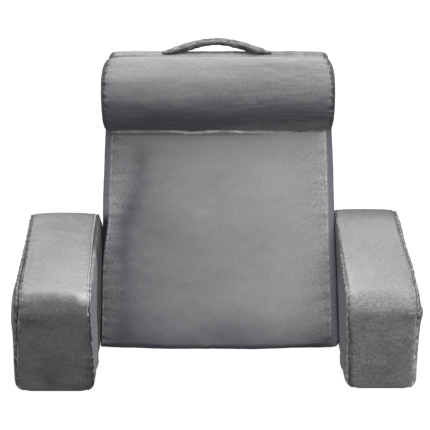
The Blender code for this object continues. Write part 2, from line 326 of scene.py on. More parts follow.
def linked_object(bm: bmesh.types.BMesh, name: str) -> bpy.types.Object:
    """Makes a form an object of the scene.

    Args:
        bm: the form, which is used up.
        name: the object's name.

    Returns:
        The object, smooth, at the origin.
    """
    mesh = bpy.data.meshes.new(name)
    bm.to_mesh(mesh)
    bm.free()
    mesh.shade_smooth()
    made = bpy.data.objects.new(name, mesh)
    bpy.context.scene.collection.objects.link(made)
    return made


# --- Side profiles and lofts --------------------------------------------------------------------


@dataclass(frozen=True)
class Corner:
    """A corner of a side profile; the crown is that of the straight run that follows it."""

    y: float
    z: float
    radius: float
    crown: float = 0.0


@dataclass(frozen=True)
class RimPoint:
    """A point on a side profile, its outward direction, and how far round the profile it lies."""

    y: float
    z: float
    out_y: float
    out_z: float
    crown: float
    along: float


@dataclass(frozen=True)
class Profile:
    """The closed outline of a form seen from its side."""

    points: tuple[RimPoint, ...]
    length: float
    corners_along: tuple[float, ...]

    @classmethod
    def rounded(cls, corners: Sequence[Corner], spacing: float) -> "Profile":
        """Rounds the corners of an outline and splits its runs evenly.

        Args:
            corners: the corners, anticlockwise with Y to the right.
            spacing: the distance between neighbouring points.

        Returns:
            The profile.
        """
        count = len(corners)
        at = [Vector((c.y, c.z)) for c in corners]
        runs = [(at[(i + 1) % count] - at[i]).normalized() for i in range(count)]
        turns = [runs[i - 1].angle(runs[i]) for i in range(count)]
        trims = [c.radius * math.tan(turn / 2) for c, turn in zip(corners, turns)]
        points: list[RimPoint] = []
        middles: list[float] = []
        along = 0.0
        for i, corner in enumerate(corners):
            into, out_of = runs[i - 1], runs[i]
            centre = at[i] - into * trims[i] + Vector((-into.y, into.x)) * corner.radius
            first = math.atan2(-into.x, into.y)
            arc = corner.radius * turns[i]
            middles.append(along + arc / 2)
            steps = max(3, round(arc / spacing)) if corner.radius > 0 else 0
            for step in range(steps + 1):
                share = step / steps if steps else 0.0
                angle = first + turns[i] * share
                out = Vector((math.cos(angle), math.sin(angle)))
                place = centre + out * corner.radius
                points.append(RimPoint(place.x, place.y, out.x, out.y, 0.0, along + arc * share))
            along += arc
            begin = at[i] + out_of * trims[i]
            end = at[(i + 1) % count] - out_of * trims[(i + 1) % count]
            run = (end - begin).length
            steps = max(1, round(run / spacing))
            for step in range(1, steps):
                t = step / steps
                place = begin.lerp(end, t)
                crown = corner.crown * 4 * t * (1 - t)
                points.append(RimPoint(place.x, place.y, out_of.y, -out_of.x, crown, along + run * t))
            along += run
        return cls(tuple(points), along, tuple(middles))

    @classmethod
    def circle(cls, radius: float, count: int) -> "Profile":
        """A round profile about the origin.

        Args:
            radius: its radius.
            count: the number of points.

        Returns:
            The profile.
        """
        points = []
        for k in range(count):
            angle = math.tau * k / count
            y, z = math.cos(angle), math.sin(angle)
            points.append(RimPoint(y * radius, z * radius, y, z, 0.0, radius * angle))
        return cls(tuple(points), math.tau * radius, ())


@dataclass(frozen=True)
class Section:
    """One ring of a loft: its place along X, how it is drawn in, and its distance from the seam."""

    x: float
    inset: float
    swell: float
    scale: float

    def mirrored(self) -> "Section":
        """The same ring on the other side of the middle."""
        return Section(-self.x, self.inset, self.swell, self.scale)


@dataclass
class Loft:
    """Carries a profile along X through sections, and keeps where each point lies on the cloth."""

    name: str
    profile: Profile
    centre: tuple[float, float]
    half: list[Section]
    seam_x: float

    def place(self, vertex: bmesh.types.BMVert, point: RimPoint, section: Section, settle: Settle) -> None:
        """Puts one point of a ring where it goes.

        Args:
            vertex: the vertex to move.
            point: the point of the profile that it stands for.
            section: the ring that it is on.
            settle: moves the point to where the cloth rests.
        """
        out = point.crown * section.swell - section.inset
        rim_y = point.y + point.out_y * out
        rim_z = point.z + point.out_z * out
        y = self.centre[0] + (rim_y - self.centre[0]) * section.scale
        z = self.centre[1] + (rim_z - self.centre[1]) * section.scale
        vertex.co = settle(Vector((section.x, y, z)), point)
        inwards = (rim_y - y) * point.out_y + (rim_z - z) * point.out_z
        past_seam = abs(section.x) - self.seam_x
        vertex[self.seam_layer] = past_seam if past_seam <= 0 else max(past_seam, 0.0) + inwards
        vertex[self.along_layer] = point.along
        vertex[self.side_layer] = 1.0 if section.x > 0 else -1.0

    def build(self, settle: Settle) -> bpy.types.Object:
        """Makes the form.

        Args:
            settle: moves each finished point to where the cloth rests.

        Returns:
            The closed mesh object, with its cloth coordinates and point attributes.
        """
        bm = bmesh.new()
        self.seam_layer = bm.verts.layers.float.new("seam")
        self.along_layer = bm.verts.layers.float.new("along")
        self.side_layer = bm.verts.layers.float.new("side")
        sections = [s.mirrored() for s in reversed(self.half[1:])] + self.half
        first_ring = [bm.verts.new((0.0, p.y, p.z)) for p in self.profile.points]
        panel = bm.faces.new(first_ring)
        for index, section in enumerate(sections):
            if index:
                panel = bmesh.ops.extrude_discrete_faces(bm, faces=[panel])["faces"][0]
            for vertex, point in zip(panel.verts, self.profile.points):
                self.place(vertex, point, section, settle)
        caps = [panel, bm.faces.new(first_ring)]
        bmesh.ops.poke(bm, faces=caps)
        bmesh.ops.recalc_face_normals(bm, faces=bm.faces)
        self.lay_cloth(bm)
        return linked_object(bm, self.name)

    def lay_cloth(self, bm: bmesh.types.BMesh) -> None:
        """Gives the band and the two side panels their cloth coordinates in metres, and their finishes.

        Args:
            bm: the lofted form.
        """
        cloth = bm.loops.layers.uv.new(CLOTH_UV)
        girth = self.profile.length
        for face in bm.faces:
            corners = [loop.vert for loop in face.loops]
            on_panel = sum(v[self.seam_layer] for v in corners) > 0
            face.material_index = int(on_panel)
            alongs = [v[self.along_layer] for v in corners]
            wraps = max(alongs) - min(alongs) > girth / 2
            for loop, along in zip(face.loops, alongs):
                if on_panel:
                    loop[cloth].uv = (loop.vert.co.y, loop.vert.co.z)
                else:
                    turn = girth if wraps and along < girth / 2 else 0.0
                    loop[cloth].uv = (along + turn, loop.vert.co.x)


SEAM_RINGS = (0.0065, 0.0045, 0.0028, 0.0013, 0.0)
RIDGE_WIDTH = 0.008
RIDGE_EDGE = 0.004


def band_and_panel(
    seam_x: float,
    side_crown: float,
    rise: float,
    band_step: float,
    panel_rings: Sequence[float],
    ridge: float = 0.0,
) -> list[Section]:
    """The rings of a form from its middle to one end.

    Args:
        seam_x: the seam's distance from the middle.
        side_crown: how far the end panel swells out past the seam.
        rise: how far in from the rim the end panel has mostly swollen out, as a share.
        band_step: the spacing of the rings on the band.
        panel_rings: how far in the rings of the end panel lie, as shares.
        ridge: how far the band is drawn in next to the seam, which leaves the seam standing proud.

    Returns:
        The sections.
    """
    last_wide = seam_x - SEAM_RINGS[0]
    count = max(2, round(last_wide / band_step))
    places = [last_wide * k / count for k in range(count)] + [seam_x - ring for ring in SEAM_RINGS]
    band = []
    for x in places:
        t = x / seam_x
        from_seam = seam_x - x
        drawn_in = ridge * math.exp(-((from_seam / RIDGE_WIDTH) ** 2)) * smooth_step(from_seam / RIDGE_EDGE)
        band.append(Section(x, drawn_in, 1 - t**2.2, 1.0))
    panel = []
    for share in panel_rings:
        panel.append(Section(seam_x + side_crown * (1 - math.exp(-share / rise)), 0.0, 0.0, 1 - share))
    return band + panel


# --- Covers -------------------------------------------------------------------------------------


@dataclass(frozen=True)
class Stuffing:
    """How a cover is filled: the filling's push, how far it may move the cloth, and the cloth's slack."""

    pressure: float = 4.0
    reach: float = 0.005
    slack: float = 0.015
    frames: int = 20


@dataclass(frozen=True)
class PuckerRow:
    """One row of uneven puckers of about one size along a seam, the same in every run."""

    pitch: float
    seed: int

    def at(self, along: np.ndarray, length: float) -> np.ndarray:
        """Their heights.

        Args:
            along: distances along the seam.
            length: the seam's own length, after which the row repeats.

        Returns:
            Heights from -1 to 1.
        """
        rng = random.Random(self.seed)
        count = max(4, 2 * round(length / self.pitch / 2))
        steps = [rng.uniform(0.45, 1.55) for _ in range(count)]
        knots = np.cumsum(steps) * length / sum(steps)
        tops = [(1 if k % 2 else -1) * rng.uniform(0.15, 1.0) for k in range(count)]
        return np.sin(np.interp(along, knots, tops, period=length) * math.pi / 2)


@dataclass(frozen=True)
class Gathers:
    """Uneven puckers of several sizes along a sewn edge."""

    pitch: float
    seed: int

    def heights(self, along: np.ndarray, length: float, apart: np.ndarray | float = 0.0) -> np.ndarray:
        """How far the gathered cloth stands up or sinks.

        Args:
            along: distances along the seam.
            length: the seam's own length, after which the gathers repeat.
            apart: distances from the seam, which lean the puckers.

        Returns:
            Heights from -1 to 1.
        """
        lean = 0.7 * PuckerRow(9 * self.pitch, self.seed + 2).at(along, length)
        place = along + lean * apart
        wide = PuckerRow(self.pitch, self.seed).at(place, length)
        fine = PuckerRow(0.55 * self.pitch, self.seed + 1).at(place, length)
        return 0.62 * wide + 0.38 * fine


@dataclass(frozen=True)
class Line:
    """A soft line along a seam: how high or how light it is, how far past the seam it lies, and its width."""

    strength: float
    past: float
    width: float

    def at(self, seam: np.ndarray) -> np.ndarray:
        """Its strength at distances past the seam."""
        return self.strength * bell(seam - self.past, self.width)


@dataclass(frozen=True)
class Spot:
    """A lighter or, below 0, darker spot on the face, by how far across and how high up it lies."""

    strength: float
    across: float
    wide: float
    height: float
    tall: float

    def at(self, across: np.ndarray, height: np.ndarray) -> np.ndarray:
        """Its strength at each point."""
        return self.strength * bell(across - self.across, self.wide) * bell(height - self.height, self.tall)


@dataclass(frozen=True)
class Humps:
    """Soft unevenness of a cloth or of how its pile lies."""

    strength: float
    size: float
    seed: float
    stretch: tuple[float, float, float] = (1.0, 1.0, 1.0)

    def at(self, points: np.ndarray) -> np.ndarray:
        """Its heights, from about -strength to strength.

        Args:
            points: the places.

        Returns:
            One height for each of them.
        """
        shift = Vector((self.seed, 2 * self.seed, 3 * self.seed))
        scaled = points * self.stretch
        return self.strength * np.array([noise.noise(Vector(p) / self.size + shift) for p in scaled])


def values_of(data: bpy.types.bpy_prop_collection, name: str, width: int = 1) -> np.ndarray:
    """Reads one property of each of a mesh's points.

    Args:
        data: the mesh's points, or what it keeps for each of them.
        name: the property.
        width: how many numbers it has.

    Returns:
        One value for each point, or one row where the property has more numbers.
    """
    flat = np.empty(len(data) * width)
    data.foreach_get(name, flat)
    return flat.reshape(-1, width) if width > 1 else flat


def read_points(mesh: bpy.types.Mesh) -> np.ndarray:
    """The places of a mesh's points, one row each."""
    return values_of(mesh.vertices, "co", 3)


def read_attribute(mesh: bpy.types.Mesh, name: str) -> np.ndarray:
    """One value for each of a mesh's points."""
    return values_of(mesh.attributes[name].data, "value")


def write_points(mesh: bpy.types.Mesh, points: np.ndarray) -> None:
    """Moves a mesh's points."""
    mesh.vertices.foreach_set("co", points.astype(np.float32).ravel())
    mesh.update()


@dataclass(frozen=True)
class Surface:
    """What a cover's form and look depend on, one value or row for each of its points."""

    points: np.ndarray
    normals: np.ndarray
    seam: np.ndarray
    along: np.ndarray
    side: np.ndarray

    @classmethod
    def read(cls, mesh: bpy.types.Mesh) -> "Surface":
        """Reads a lofted mesh."""
        kept = (read_attribute(mesh, name) for name in ("seam", "along", "side"))
        return cls(read_points(mesh), values_of(mesh.vertex_normals, "vector", 3), *kept)

    def by_seam(self, reach: float | np.ndarray) -> np.ndarray:
        """1 at the seam, dying away on both sides of it over this reach."""
        return np.exp(-np.abs(self.seam) / reach)


@dataclass
class Cover:
    """A filled cover that stands for one solid. Its sizes are the solid's own."""

    name: str
    node: str
    slot: str
    fill: float
    stuffing: Stuffing

    def stuff(self, cover: bpy.types.Object, held: np.ndarray) -> None:
        """Fills the cover by a short cloth simulation and keeps the result.

        Args:
            cover: the lofted cover.
            held: for each point, 1 where a seam or a neighbour holds the cloth, and 0 where it is free.
        """
        pins = cover.vertex_groups.new(name="sewn")
        for index in np.nonzero(held > 0.01)[0]:
            pins.add([int(index)], float(held[index]), "REPLACE")
        cloth = cover.modifiers.new("filling", "CLOTH")
        cloth.settings.quality = 6
        cloth.settings.mass = 0.25
        cloth.settings.tension_stiffness = 18
        cloth.settings.compression_stiffness = 18
        cloth.settings.shear_stiffness = 8
        cloth.settings.bending_stiffness = 0.4
        cloth.settings.use_pressure = True
        cloth.settings.uniform_pressure_force = self.stuffing.pressure
        cloth.settings.shrink_min = -self.stuffing.slack
        cloth.settings.vertex_group_mass = pins.name
        cloth.settings.effector_weights.gravity = 0.0
        cloth.point_cache.frame_start = 1
        cloth.point_cache.frame_end = self.stuffing.frames
        scene = bpy.context.scene
        for step in range(1, self.stuffing.frames + 1):
            scene.frame_set(step)
        filled = cover.evaluated_get(bpy.context.evaluated_depsgraph_get()).data
        start = read_points(cover.data)
        push = read_points(filled) - start
        furthest = float(np.linalg.norm(push, axis=1).max())
        push *= min(1.0, self.stuffing.reach / max(furthest, 1e-9))
        cover.modifiers.clear()
        cover.vertex_groups.clear()
        write_points(cover.data, start + push)
        scene.frame_set(1)
        LOG.info("%s filled: largest push %.1f mm", self.name, 1000 * furthest)

    def refine(self, cover: bpy.types.Object) -> None:
        """Splits every face of the cover into four.

        Args:
            cover: the mesh object.
        """
        bm = bmesh.new()
        bm.from_mesh(cover.data)
        bmesh.ops.subdivide_edges(bm, edges=bm.edges[:], cuts=1, use_grid_fill=True)
        bm.to_mesh(cover.data)
        bm.free()

    def set_light_and_pile(
        self, cover: bpy.types.Object, tone: np.ndarray, smooth: np.ndarray, bristle: np.ndarray
    ) -> None:
        """Writes how the cloth looks at each point.

        Args:
            cover: the sculpted cover.
            tone: the painted light and shade, with the pile's own streaks and patches: 0 where dark, 1 where
                light, a little past either.
            smooth: 0 on the brushed plush, 1 on the sleeker cloth of the side panels.
            bristle: how far the single strokes of the pile stand out.
        """
        for name, values in ((TONE, tone), (SMOOTH, smooth), (BRISTLE, bristle)):
            layer = cover.data.attributes.new(name, "FLOAT", "POINT")
            layer.data.foreach_set("value", values.astype(np.float32))

    def finish(self, cover: bpy.types.Object, finishes: Sequence[bpy.types.Material]) -> bpy.types.Object:
        """Dresses the cover, hangs it under the body and hides its solid.

        Args:
            cover: the finished mesh object.
            finishes: its materials, the band's first.

        Returns:
            The piece.
        """
        cover.data.materials.clear()
        for finish in finishes:
            cover.data.materials.append(finish)
        cover.data.shade_smooth()
        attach(cover, BODY)
        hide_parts(self.node)
        LOG.info("%s: %d faces", self.name, len(cover.data.polygons))
        return cover


PANEL_RINGS = (0.008, 0.017, 0.028, 0.042, 0.060, 0.085, 0.12, 0.17, 0.24, 0.33, 0.44, 0.57, 0.71, 0.85, 0.95)
CONTACT_GAP = 0.0003
HELD_WIDTH = 0.003
ON_FLOOR = 0.002


@dataclass(frozen=True)
class FaceLightAndPile:
    """The painted light and shade on the wedge's face, and its pile's own patches and streaks."""

    lowest: float = 0.02
    facing_up: float = 0.80
    rightwards: float = 0.11
    patches: Humps = Humps(0.016, 0.055, 6.3)
    foot_shade: float = 0.165
    foot_shade_rightwards: float = 0.085
    foot_reach: float = 0.110
    foot_spots: tuple[Spot, ...] = (
        Spot(strength=-0.15, across=0.98, wide=0.15, height=0.0, tall=0.026),
        Spot(strength=-0.045, across=0.20, wide=0.30, height=0.045, tall=0.025),
        Spot(strength=0.045, across=-0.95, wide=0.08, height=0.108, tall=0.030),
    )
    left_light: Spot = Spot(strength=0.10, across=-0.97, wide=0.08, height=0.246, tall=0.036)
    welt_light: float = 0.58
    welt_light_reach: float = 0.016
    welt_shadow: Line = Line(strength=0.55, past=0.0035, width=0.0022)
    crevice: Humps = Humps(0.3, 0.012, 1.3)
    crevice_top: float = 0.40
    streak_across: float = -0.85
    streak: float = 0.045
    streak_above: float = 0.050
    streak_width: float = 0.085
    streak_side: float = 0.040

    def painted_light_by_facing(self, cloth: Surface, face: np.ndarray, across: np.ndarray) -> np.ndarray:
        """The painted light and shade as the cloth turns up, lighter towards the right and painted shade near
        the foot, with the pile's random patches.

        Args:
            cloth: the cover's surface.
            face: 1 on the face, 0 elsewhere.
            across: the places across the face, from -1 at its left seam to 1 at its right one.

        Returns:
            The tones.
        """
        height = cloth.points[:, 2]
        up = np.clip((elevations(cloth.normals) + 5) / 93, 0.0, 1.0)
        tone = self.lowest + self.facing_up * up**1.15
        tone += face * (self.rightwards * across + self.patches.at(cloth.points))
        # Painted shade near the foot, where the face turns down, deeper towards the right.
        near_foot = np.clip(1 - height / self.foot_reach, 0.0, 1.0) ** 1.6
        tone -= face * (self.foot_shade + self.foot_shade_rightwards * across) * near_foot
        for spot in self.foot_spots:
            tone += face * spot.at(across, height)
        return np.maximum(tone, 0.0)

    def by_welt(
        self, tone: np.ndarray, cloth: Surface, face: np.ndarray, across: np.ndarray, welt_height: float
    ) -> np.ndarray:
        """Adds painted light just below the welt, against the roll's shadow, its thin painted shadow, and
        painted shade in the crevice above it.

        Args:
            tone: the tones so far.
            cloth: the cover's surface.
            face: 1 on the face, 0 elsewhere.
            across: the places across the face.
            welt_height: how high up the welt lies.

        Returns:
            The tones.
        """
        height = cloth.points[:, 2]
        below = np.maximum(0.0, welt_height - height)
        light = self.welt_light * np.exp(-below / self.welt_light_reach)
        tone = tone + face * light * (0.85 + 0.30 * across) * (1 - 0.5 * bell(across + 1, 0.10))
        tone -= face * tone * self.welt_shadow.at(below) * eased((0.6 - across) / 0.3)
        above = eased((height - welt_height - 0.0015) / 0.0030) * (height < self.crevice_top)
        return tone - face * above * (tone + 0.04) * (0.85 + self.crevice.at(cloth.points))

    def brushed(self, across: np.ndarray, height: np.ndarray) -> np.ndarray:
        """A darker streak down the left of the face.

        Args:
            across: the places across the face.
            height: how high up they are.

        Returns:
            How much darker each place looks.
        """
        apart = across - self.streak_across - 0.14 * eased((height - 0.19) / 0.10)
        middle = self.streak + self.streak_above * eased((height - 0.12) / 0.04)
        middle = middle * bell(apart, self.streak_width)
        return (middle + self.streak_side * bell(apart - 0.16, 0.20)) * eased((0.37 - height) / 0.05)


@dataclass
class WedgeCover(Cover):
    """The leaning wedge's cover: a band round its profile and two plain side panels."""

    lean: float = math.radians(31)
    height: float = 0.500
    depth: float = 0.340
    seam_x: float = 0.2145
    side_x: float = 0.2275
    top_drop: float = 0.006
    taper: float = 0.024
    taper_from: float = 0.230
    left_draw: float = 0.0025
    foot_swell: float = 0.0045
    face_crown: float = 0.014
    back_crown: float = 0.008
    toe_reach: float = 0.018
    toe_bow: float = 0.009
    toe_height: float = 0.12
    toe_depth: float = 0.10
    panel_rise: float = 0.012
    panel_centre: tuple[float, float] = (0.62, 0.36)
    crown_up_face: float = 0.405
    welt_height: float = 0.362
    foot_seam: float = 0.0105
    foot_seam_height: float = 0.11
    corner_drop: float = 0.0015
    corner_from: float = 0.44
    corner_height: float = 0.05
    corner_off_middle: float = 0.165
    corner_width: float = 0.055
    spacing: float = 0.0066
    gathers: Gathers = Gathers(0.011, 5)
    seam_groove: Line = Line(strength=-0.0016, past=0.0012, width=0.0022)
    seam_shoulder: Line = Line(strength=0.0006, past=-0.0018, width=0.0016)
    pull_height: float = 0.0009
    pull_reach: float = 0.016
    edge_depths: tuple[float, ...] = (0.0004, 0.0008, 0.0010, 0.0026)
    edge_width: float = 0.0040
    edge_ripple_pitch: float = 0.016
    edge_ripple_reach: float = 0.014
    broad_humps: Humps = Humps(0.0010, 0.085, 1.7)
    small_humps: Humps = Humps(0.0004, 0.022, 4.1)
    pile: FaceLightAndPile = FaceLightAndPile()
    seam_shade_reach: float = 0.030
    stitches: PuckerRow = PuckerRow(0.007, 3)
    stitch_line: Line = Line(strength=0.34, past=-0.0016, width=0.0010)
    strip_corner: int = 3
    back_tone: float = 0.36
    panel_level: float = 0.40
    shaded_by_arm: float = 0.230
    arm_ends_at: float = 0.130

    def __post_init__(self) -> None:
        """Finds the middle of the pillow and the foot of the wedge's face from the solids."""
        low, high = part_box("neck_roll")
        self.middle_x = (low.x + high.x) / 2
        self.foot_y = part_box(self.node)[1].y - self.back_crown - self.depth

    def side_at(self, side: np.ndarray | float, z: np.ndarray | float) -> np.ndarray:
        """How far the left or the right side panel stands out, by height.

        Args:
            side: below 0 for the left panel, above 0 for the right one.
            z: the heights.

        Returns:
            The distances from the middle, without the taper at the top.
        """
        right = self.side_x + self.foot_swell * np.maximum(0.0, 1 - z / self.taper_from)
        return np.where(np.less(side, 0), self.side_x - self.left_draw, right)

    def on_face(self, up: float, off: float) -> tuple[float, float]:
        """A place on the plane of the face.

        Args:
            up: how far up the face from its foot.
            off: how far in front of it.

        Returns:
            Its Y and Z.
        """
        y = self.foot_y + up * math.sin(self.lean) - off * math.cos(self.lean)
        return y, up * math.cos(self.lean) + off * math.sin(self.lean)

    def profile(self) -> Profile:
        """The wedge seen from its side, about its own foot.

        Returns:
            The outline, from the toe along the base.
        """
        top_front = self.height - self.top_drop
        corners = (
            Corner(-self.toe_reach, 0.0, 0.006),
            Corner(self.depth, 0.0, 0.020, self.back_crown),
            Corner(self.depth, self.height, 0.012),
            Corner(top_front * math.tan(self.lean), top_front, 0.016),
            Corner(
                self.crown_up_face * math.sin(self.lean),
                self.crown_up_face * math.cos(self.lean),
                0.0,
                self.face_crown,
            ),
        )
        return Profile.rounded(corners, self.spacing)

    def settle(self, co: Vector, point: RimPoint) -> Vector:
        """Draws the top in, bows the toe forward and keeps the base flat.

        Args:
            co: the place of a point on the straight loft.
            point: the point of the profile that it stands for; not used.

        Returns:
            Where it goes.
        """
        co.x *= 1 - self.taper * smooth_step((co.z - self.taper_from) / (self.height - self.taper_from))
        side = float(self.side_at(co.x, co.z))
        co.x *= side / self.side_x
        if co.x < 0:
            low = smooth_step((self.taper_from - co.z) / self.foot_seam_height)
            spread = 1 + self.foot_seam * low / self.seam_x
            co.x = max(-side, co.x * spread)
        high = smooth_step((co.z - self.corner_from) / self.corner_height)
        off_middle = smooth_step((abs(co.x) - self.corner_off_middle) / self.corner_width)
        co.z -= self.corner_drop * high * off_middle
        across = 1 - (co.x / self.seam_x) ** 2
        toe = smooth_step(1 - co.z / self.toe_height) * smooth_step(1 - co.y / self.toe_depth)
        co.y -= self.toe_bow * toe * max(0.0, across)
        co.z = max(0.0, co.z)
        return co

    def sculpt(self, cover: bpy.types.Object, profile: Profile) -> None:
        """Draws the seams in, gathers them and leaves the face a little uneven.

        Args:
            cover: the refined cover.
            profile: the profile that it was lofted from.
        """
        cloth = Surface.read(cover.data)
        points, on_band = cloth.points, cloth.seam < 0
        lift = self.seam_groove.at(cloth.seam) + self.seam_shoulder.at(cloth.seam)
        pulls = self.gathers.heights(cloth.along, profile.length, 0.3 * cloth.seam)
        lift += self.pull_height * pulls * cloth.by_seam(self.pull_reach) * on_band
        across = points[:, 0] - self.middle_x
        for corner, depth in zip(profile.corners_along, self.edge_depths):
            apart = cloth.along - corner
            ripples = Gathers(self.edge_ripple_pitch, int(1000 * depth))
            ripple = ripples.heights(across, 2 * self.seam_x, apart)
            lift -= depth * bell(apart, self.edge_width) * on_band
            lift += 0.8 * depth * ripple * np.exp(-np.abs(apart) / self.edge_ripple_reach) * on_band
        lift += self.broad_humps.at(points) + self.small_humps.at(points)
        points += cloth.normals * lift[:, None]
        across = points[:, 0] - self.middle_x
        for side in (-1, 1):
            out = np.minimum(side * across, self.side_at(side, points[:, 2]))
            points[:, 0] = np.where(side * across > 0, self.middle_x + side * out, points[:, 0])
        points[:, 2] = np.maximum(points[:, 2], 0.0)
        write_points(cover.data, points)

    def edge_streaks(self, cloth: Surface, across: np.ndarray, profile: Profile) -> np.ndarray:
        """The short strokes of the pile that start at the side seams, slanted at the lower left.

        Args:
            cloth: the cover's surface.
            across: the places across the face.
            profile: the profile that the cover was lofted from.

        Returns:
            How much lighter each place looks.
        """
        along, seam, length = cloth.along, cloth.seam, profile.length
        level = PuckerRow(0.016, 8).at(along + 0.25 * seam, length)
        level += 0.4 * PuckerRow(0.007, 9).at(along - 0.2 * seam, length)
        level *= 0.6 + Humps(0.6, 0.030, 3.8).at(cloth.points)
        slanted = PuckerRow(0.0040, 12).at(along - 0.9 * seam, length)
        low_left = (across < 0) * eased((0.21 - cloth.points[:, 2]) / 0.05)
        return (0.07 * level * (1 - low_left) + 0.045 * slanted * low_left) * eased(5 * np.abs(across) - 3)

    def strip_shade(self, cloth: Surface, across: np.ndarray, profile: Profile) -> np.ndarray:
        """The painted shade in the crease behind the roll, the ruffled and darker pile of the top strip, and
        the strap's painted shadow on it.

        Args:
            cloth: the cover's surface.
            across: the places across the pillow.
            profile: the profile that the cover was lofted from.

        Returns:
            How much darker each place looks.
        """
        points = cloth.points
        # Painted shade in the crease between the roll and the top strip.
        behind_roll = bell(cloth.along - profile.corners_along[self.strip_corner] - 0.004, 0.011)
        ruffled = Humps(0.5, 0.012, 2.2, (1.0, 0.3, 0.3)).at(points)
        behind_roll *= 0.75 + ruffled + 0.35 * eased(across / 0.4)
        strip = eased((cloth.normals[:, 2] - 0.6) / 0.3) * eased((points[:, 2] - 0.46) / 0.02)
        mottled = Humps(1.0, 0.007, 2.9, (0.6, 1.0, 1.0)).at(points) + Humps(0.6, 0.0035, 1.4).at(points)
        # Painted shadow of the strap on the top strip, near its back edge.
        strap_shadow = bell(points[:, 1] - self.foot_y - self.depth + 0.012, 0.009)
        strap_shadow *= eased((0.47 - np.abs(across)) / 0.12)
        shade = 0.60 * behind_roll + strip * (0.08 + 0.34 * eased(across / 0.45) - 0.17 * mottled)
        return shade + strip * 0.85 * strap_shadow

    def panel_tone(self, cloth: Surface, across: np.ndarray, sleek: np.ndarray) -> np.ndarray:
        """How light the plain side panels look: darker on the left and beside the seam, and painted shade,
        down to nearly black, where an arm stands beside them.

        Args:
            cloth: the cover's surface.
            across: the places across the pillow.
            sleek: 1 on the sleeker cloth of the panels.

        Returns:
            The tones.
        """
        points, seam = cloth.points, cloth.seam
        # Painted shade where an arm stands beside the panel, fading behind the arm's rear end.
        painted_arm_shade = eased((self.shaded_by_arm - points[:, 2]) / 0.022) * (seam > 0)
        painted_arm_shade *= eased((self.arm_ends_at - points[:, 1]) / 0.050)
        painted_arm_shade *= np.where(across < 0, 1.0, eased((seam - 0.010) / 0.009))
        plain = self.panel_level - 0.12 * (across < 0) - 0.12 * bell(seam - 0.0016, 0.0012)
        return plain - (plain + DEEPEST * (1 + sleek)) * painted_arm_shade

    def look(self, cover: bpy.types.Object, profile: Profile) -> None:
        """Paints light and shade into the cover's colour, with the pile's own streaks and patches.

        Args:
            cover: the sculpted cover.
            profile: the profile that it was lofted from.
        """
        cloth = Surface.read(cover.data)
        across = (cloth.points[:, 0] - self.middle_x) / self.seam_x
        height = cloth.points[:, 2]
        face = eased(-cloth.normals[:, 1] * 3) * (height > 0.004)
        tone = self.pile.painted_light_by_facing(cloth, face, across)
        tone = self.pile.by_welt(tone, cloth, face, across, self.welt_height)
        tone += face * (self.pile.left_light.at(across, height) - self.pile.brushed(across, height))
        edge = cloth.by_seam(self.seam_shade_reach) * (cloth.seam < 0)
        tone += edge * self.edge_streaks(cloth, across, profile)
        stitches = self.stitches.at(cloth.along, profile.length)
        tone += self.stitch_line.at(cloth.seam) * (0.6 + 0.5 * stitches)
        tone -= self.strip_shade(cloth, across, profile)
        # Cloth that faces back keeps a mid tone, out of the painted shade of the front.
        tone = np.maximum(tone, self.back_tone * eased((cloth.normals[:, 1] - 0.5) / 0.4))
        sleek = eased((cloth.seam + 0.0004) / 0.0012)
        tone = np.where(cloth.seam > 0, self.panel_tone(cloth, across, sleek), tone)
        bristle = np.clip(0.50 + 1.6 * edge + Humps(0.4, 0.040, 5.2).at(cloth.points), 0.25, 2.0)
        self.set_light_and_pile(cover, np.clip(tone, -DEEPEST * (1 + sleek), 1.0), sleek, bristle)

    def build(self) -> bpy.types.Object:
        """Makes the cover.

        Returns:
            The piece.
        """
        profile = self.profile()
        swell = self.side_x - self.seam_x
        half = band_and_panel(self.seam_x, swell, self.panel_rise, self.spacing, PANEL_RINGS)
        centre = (self.depth * self.panel_centre[0], self.height * self.panel_centre[1])
        loft = Loft(self.name, profile, centre, half, self.seam_x)
        cover = loft.build(self.settle)
        cover.data.transform(Matrix.Translation((self.middle_x, self.foot_y, 0.0)))
        sewn = bell(read_attribute(cover.data, "seam"), HELD_WIDTH)
        self.stuff(cover, np.maximum(sewn, (read_points(cover.data)[:, 2] < ON_FLOOR).astype(float)))
        self.refine(cover)
        self.sculpt(cover, profile)
        self.look(cover, profile)
        return self.finish(cover, [BAND_PLUSH.material(), PANEL_PLUSH.material()])


@dataclass(frozen=True)
class RollLightAndPile:
    """The painted light and shade on the roll, from its underside round its front to its top."""

    underside: float = 0.03
    tucked: float = 0.045
    lower: float = 0.065
    front: float = 0.11
    rising: float = 0.205
    upper: float = 0.285
    shoulder: float = 0.44
    crest: float = 0.555
    top: float = 0.86
    underside_right: float = 0.13
    upper_at: float = 54.0
    upper_width: float = 15.0
    upper_left: float = 0.06
    upper_right: float = 0.14
    left_end: float = 0.40
    left_end_reach: float = 0.020

    def at(self, elevation: np.ndarray) -> np.ndarray:
        """The painted light and shade by how far the cloth faces up.

        Args:
            elevation: how far it does, in degrees.

        Returns:
            One tone for each.
        """
        low = (self.underside, self.tucked, self.lower, self.front)
        high = (self.rising, self.upper, self.shoulder, self.crest, self.top)
        return np.interp(elevation, (-60, -30, -12, 0, 12, 28, 45, 62, 88), low + high)

    def painted_light_along_roll(self, elevation: np.ndarray, across: np.ndarray) -> np.ndarray:
        """The painted light and shade, a little different at the roll's left than at its right.

        Args:
            elevation: how far the cloth faces up, in degrees.
            across: the places along the roll, from -1 at its left end to 1 at its right one.

        Returns:
            One tone for each.
        """
        tone = self.at(elevation)
        tone += self.underside_right * eased((across + 0.15) / 0.5) * eased((-28 - elevation) / 25)
        left = self.upper_left * eased((-0.2 - across) / 0.4)
        right = self.upper_right * eased((across + 0.2) / 0.5)
        return tone * (1 + bell(elevation - self.upper_at, self.upper_width) * (left - right))


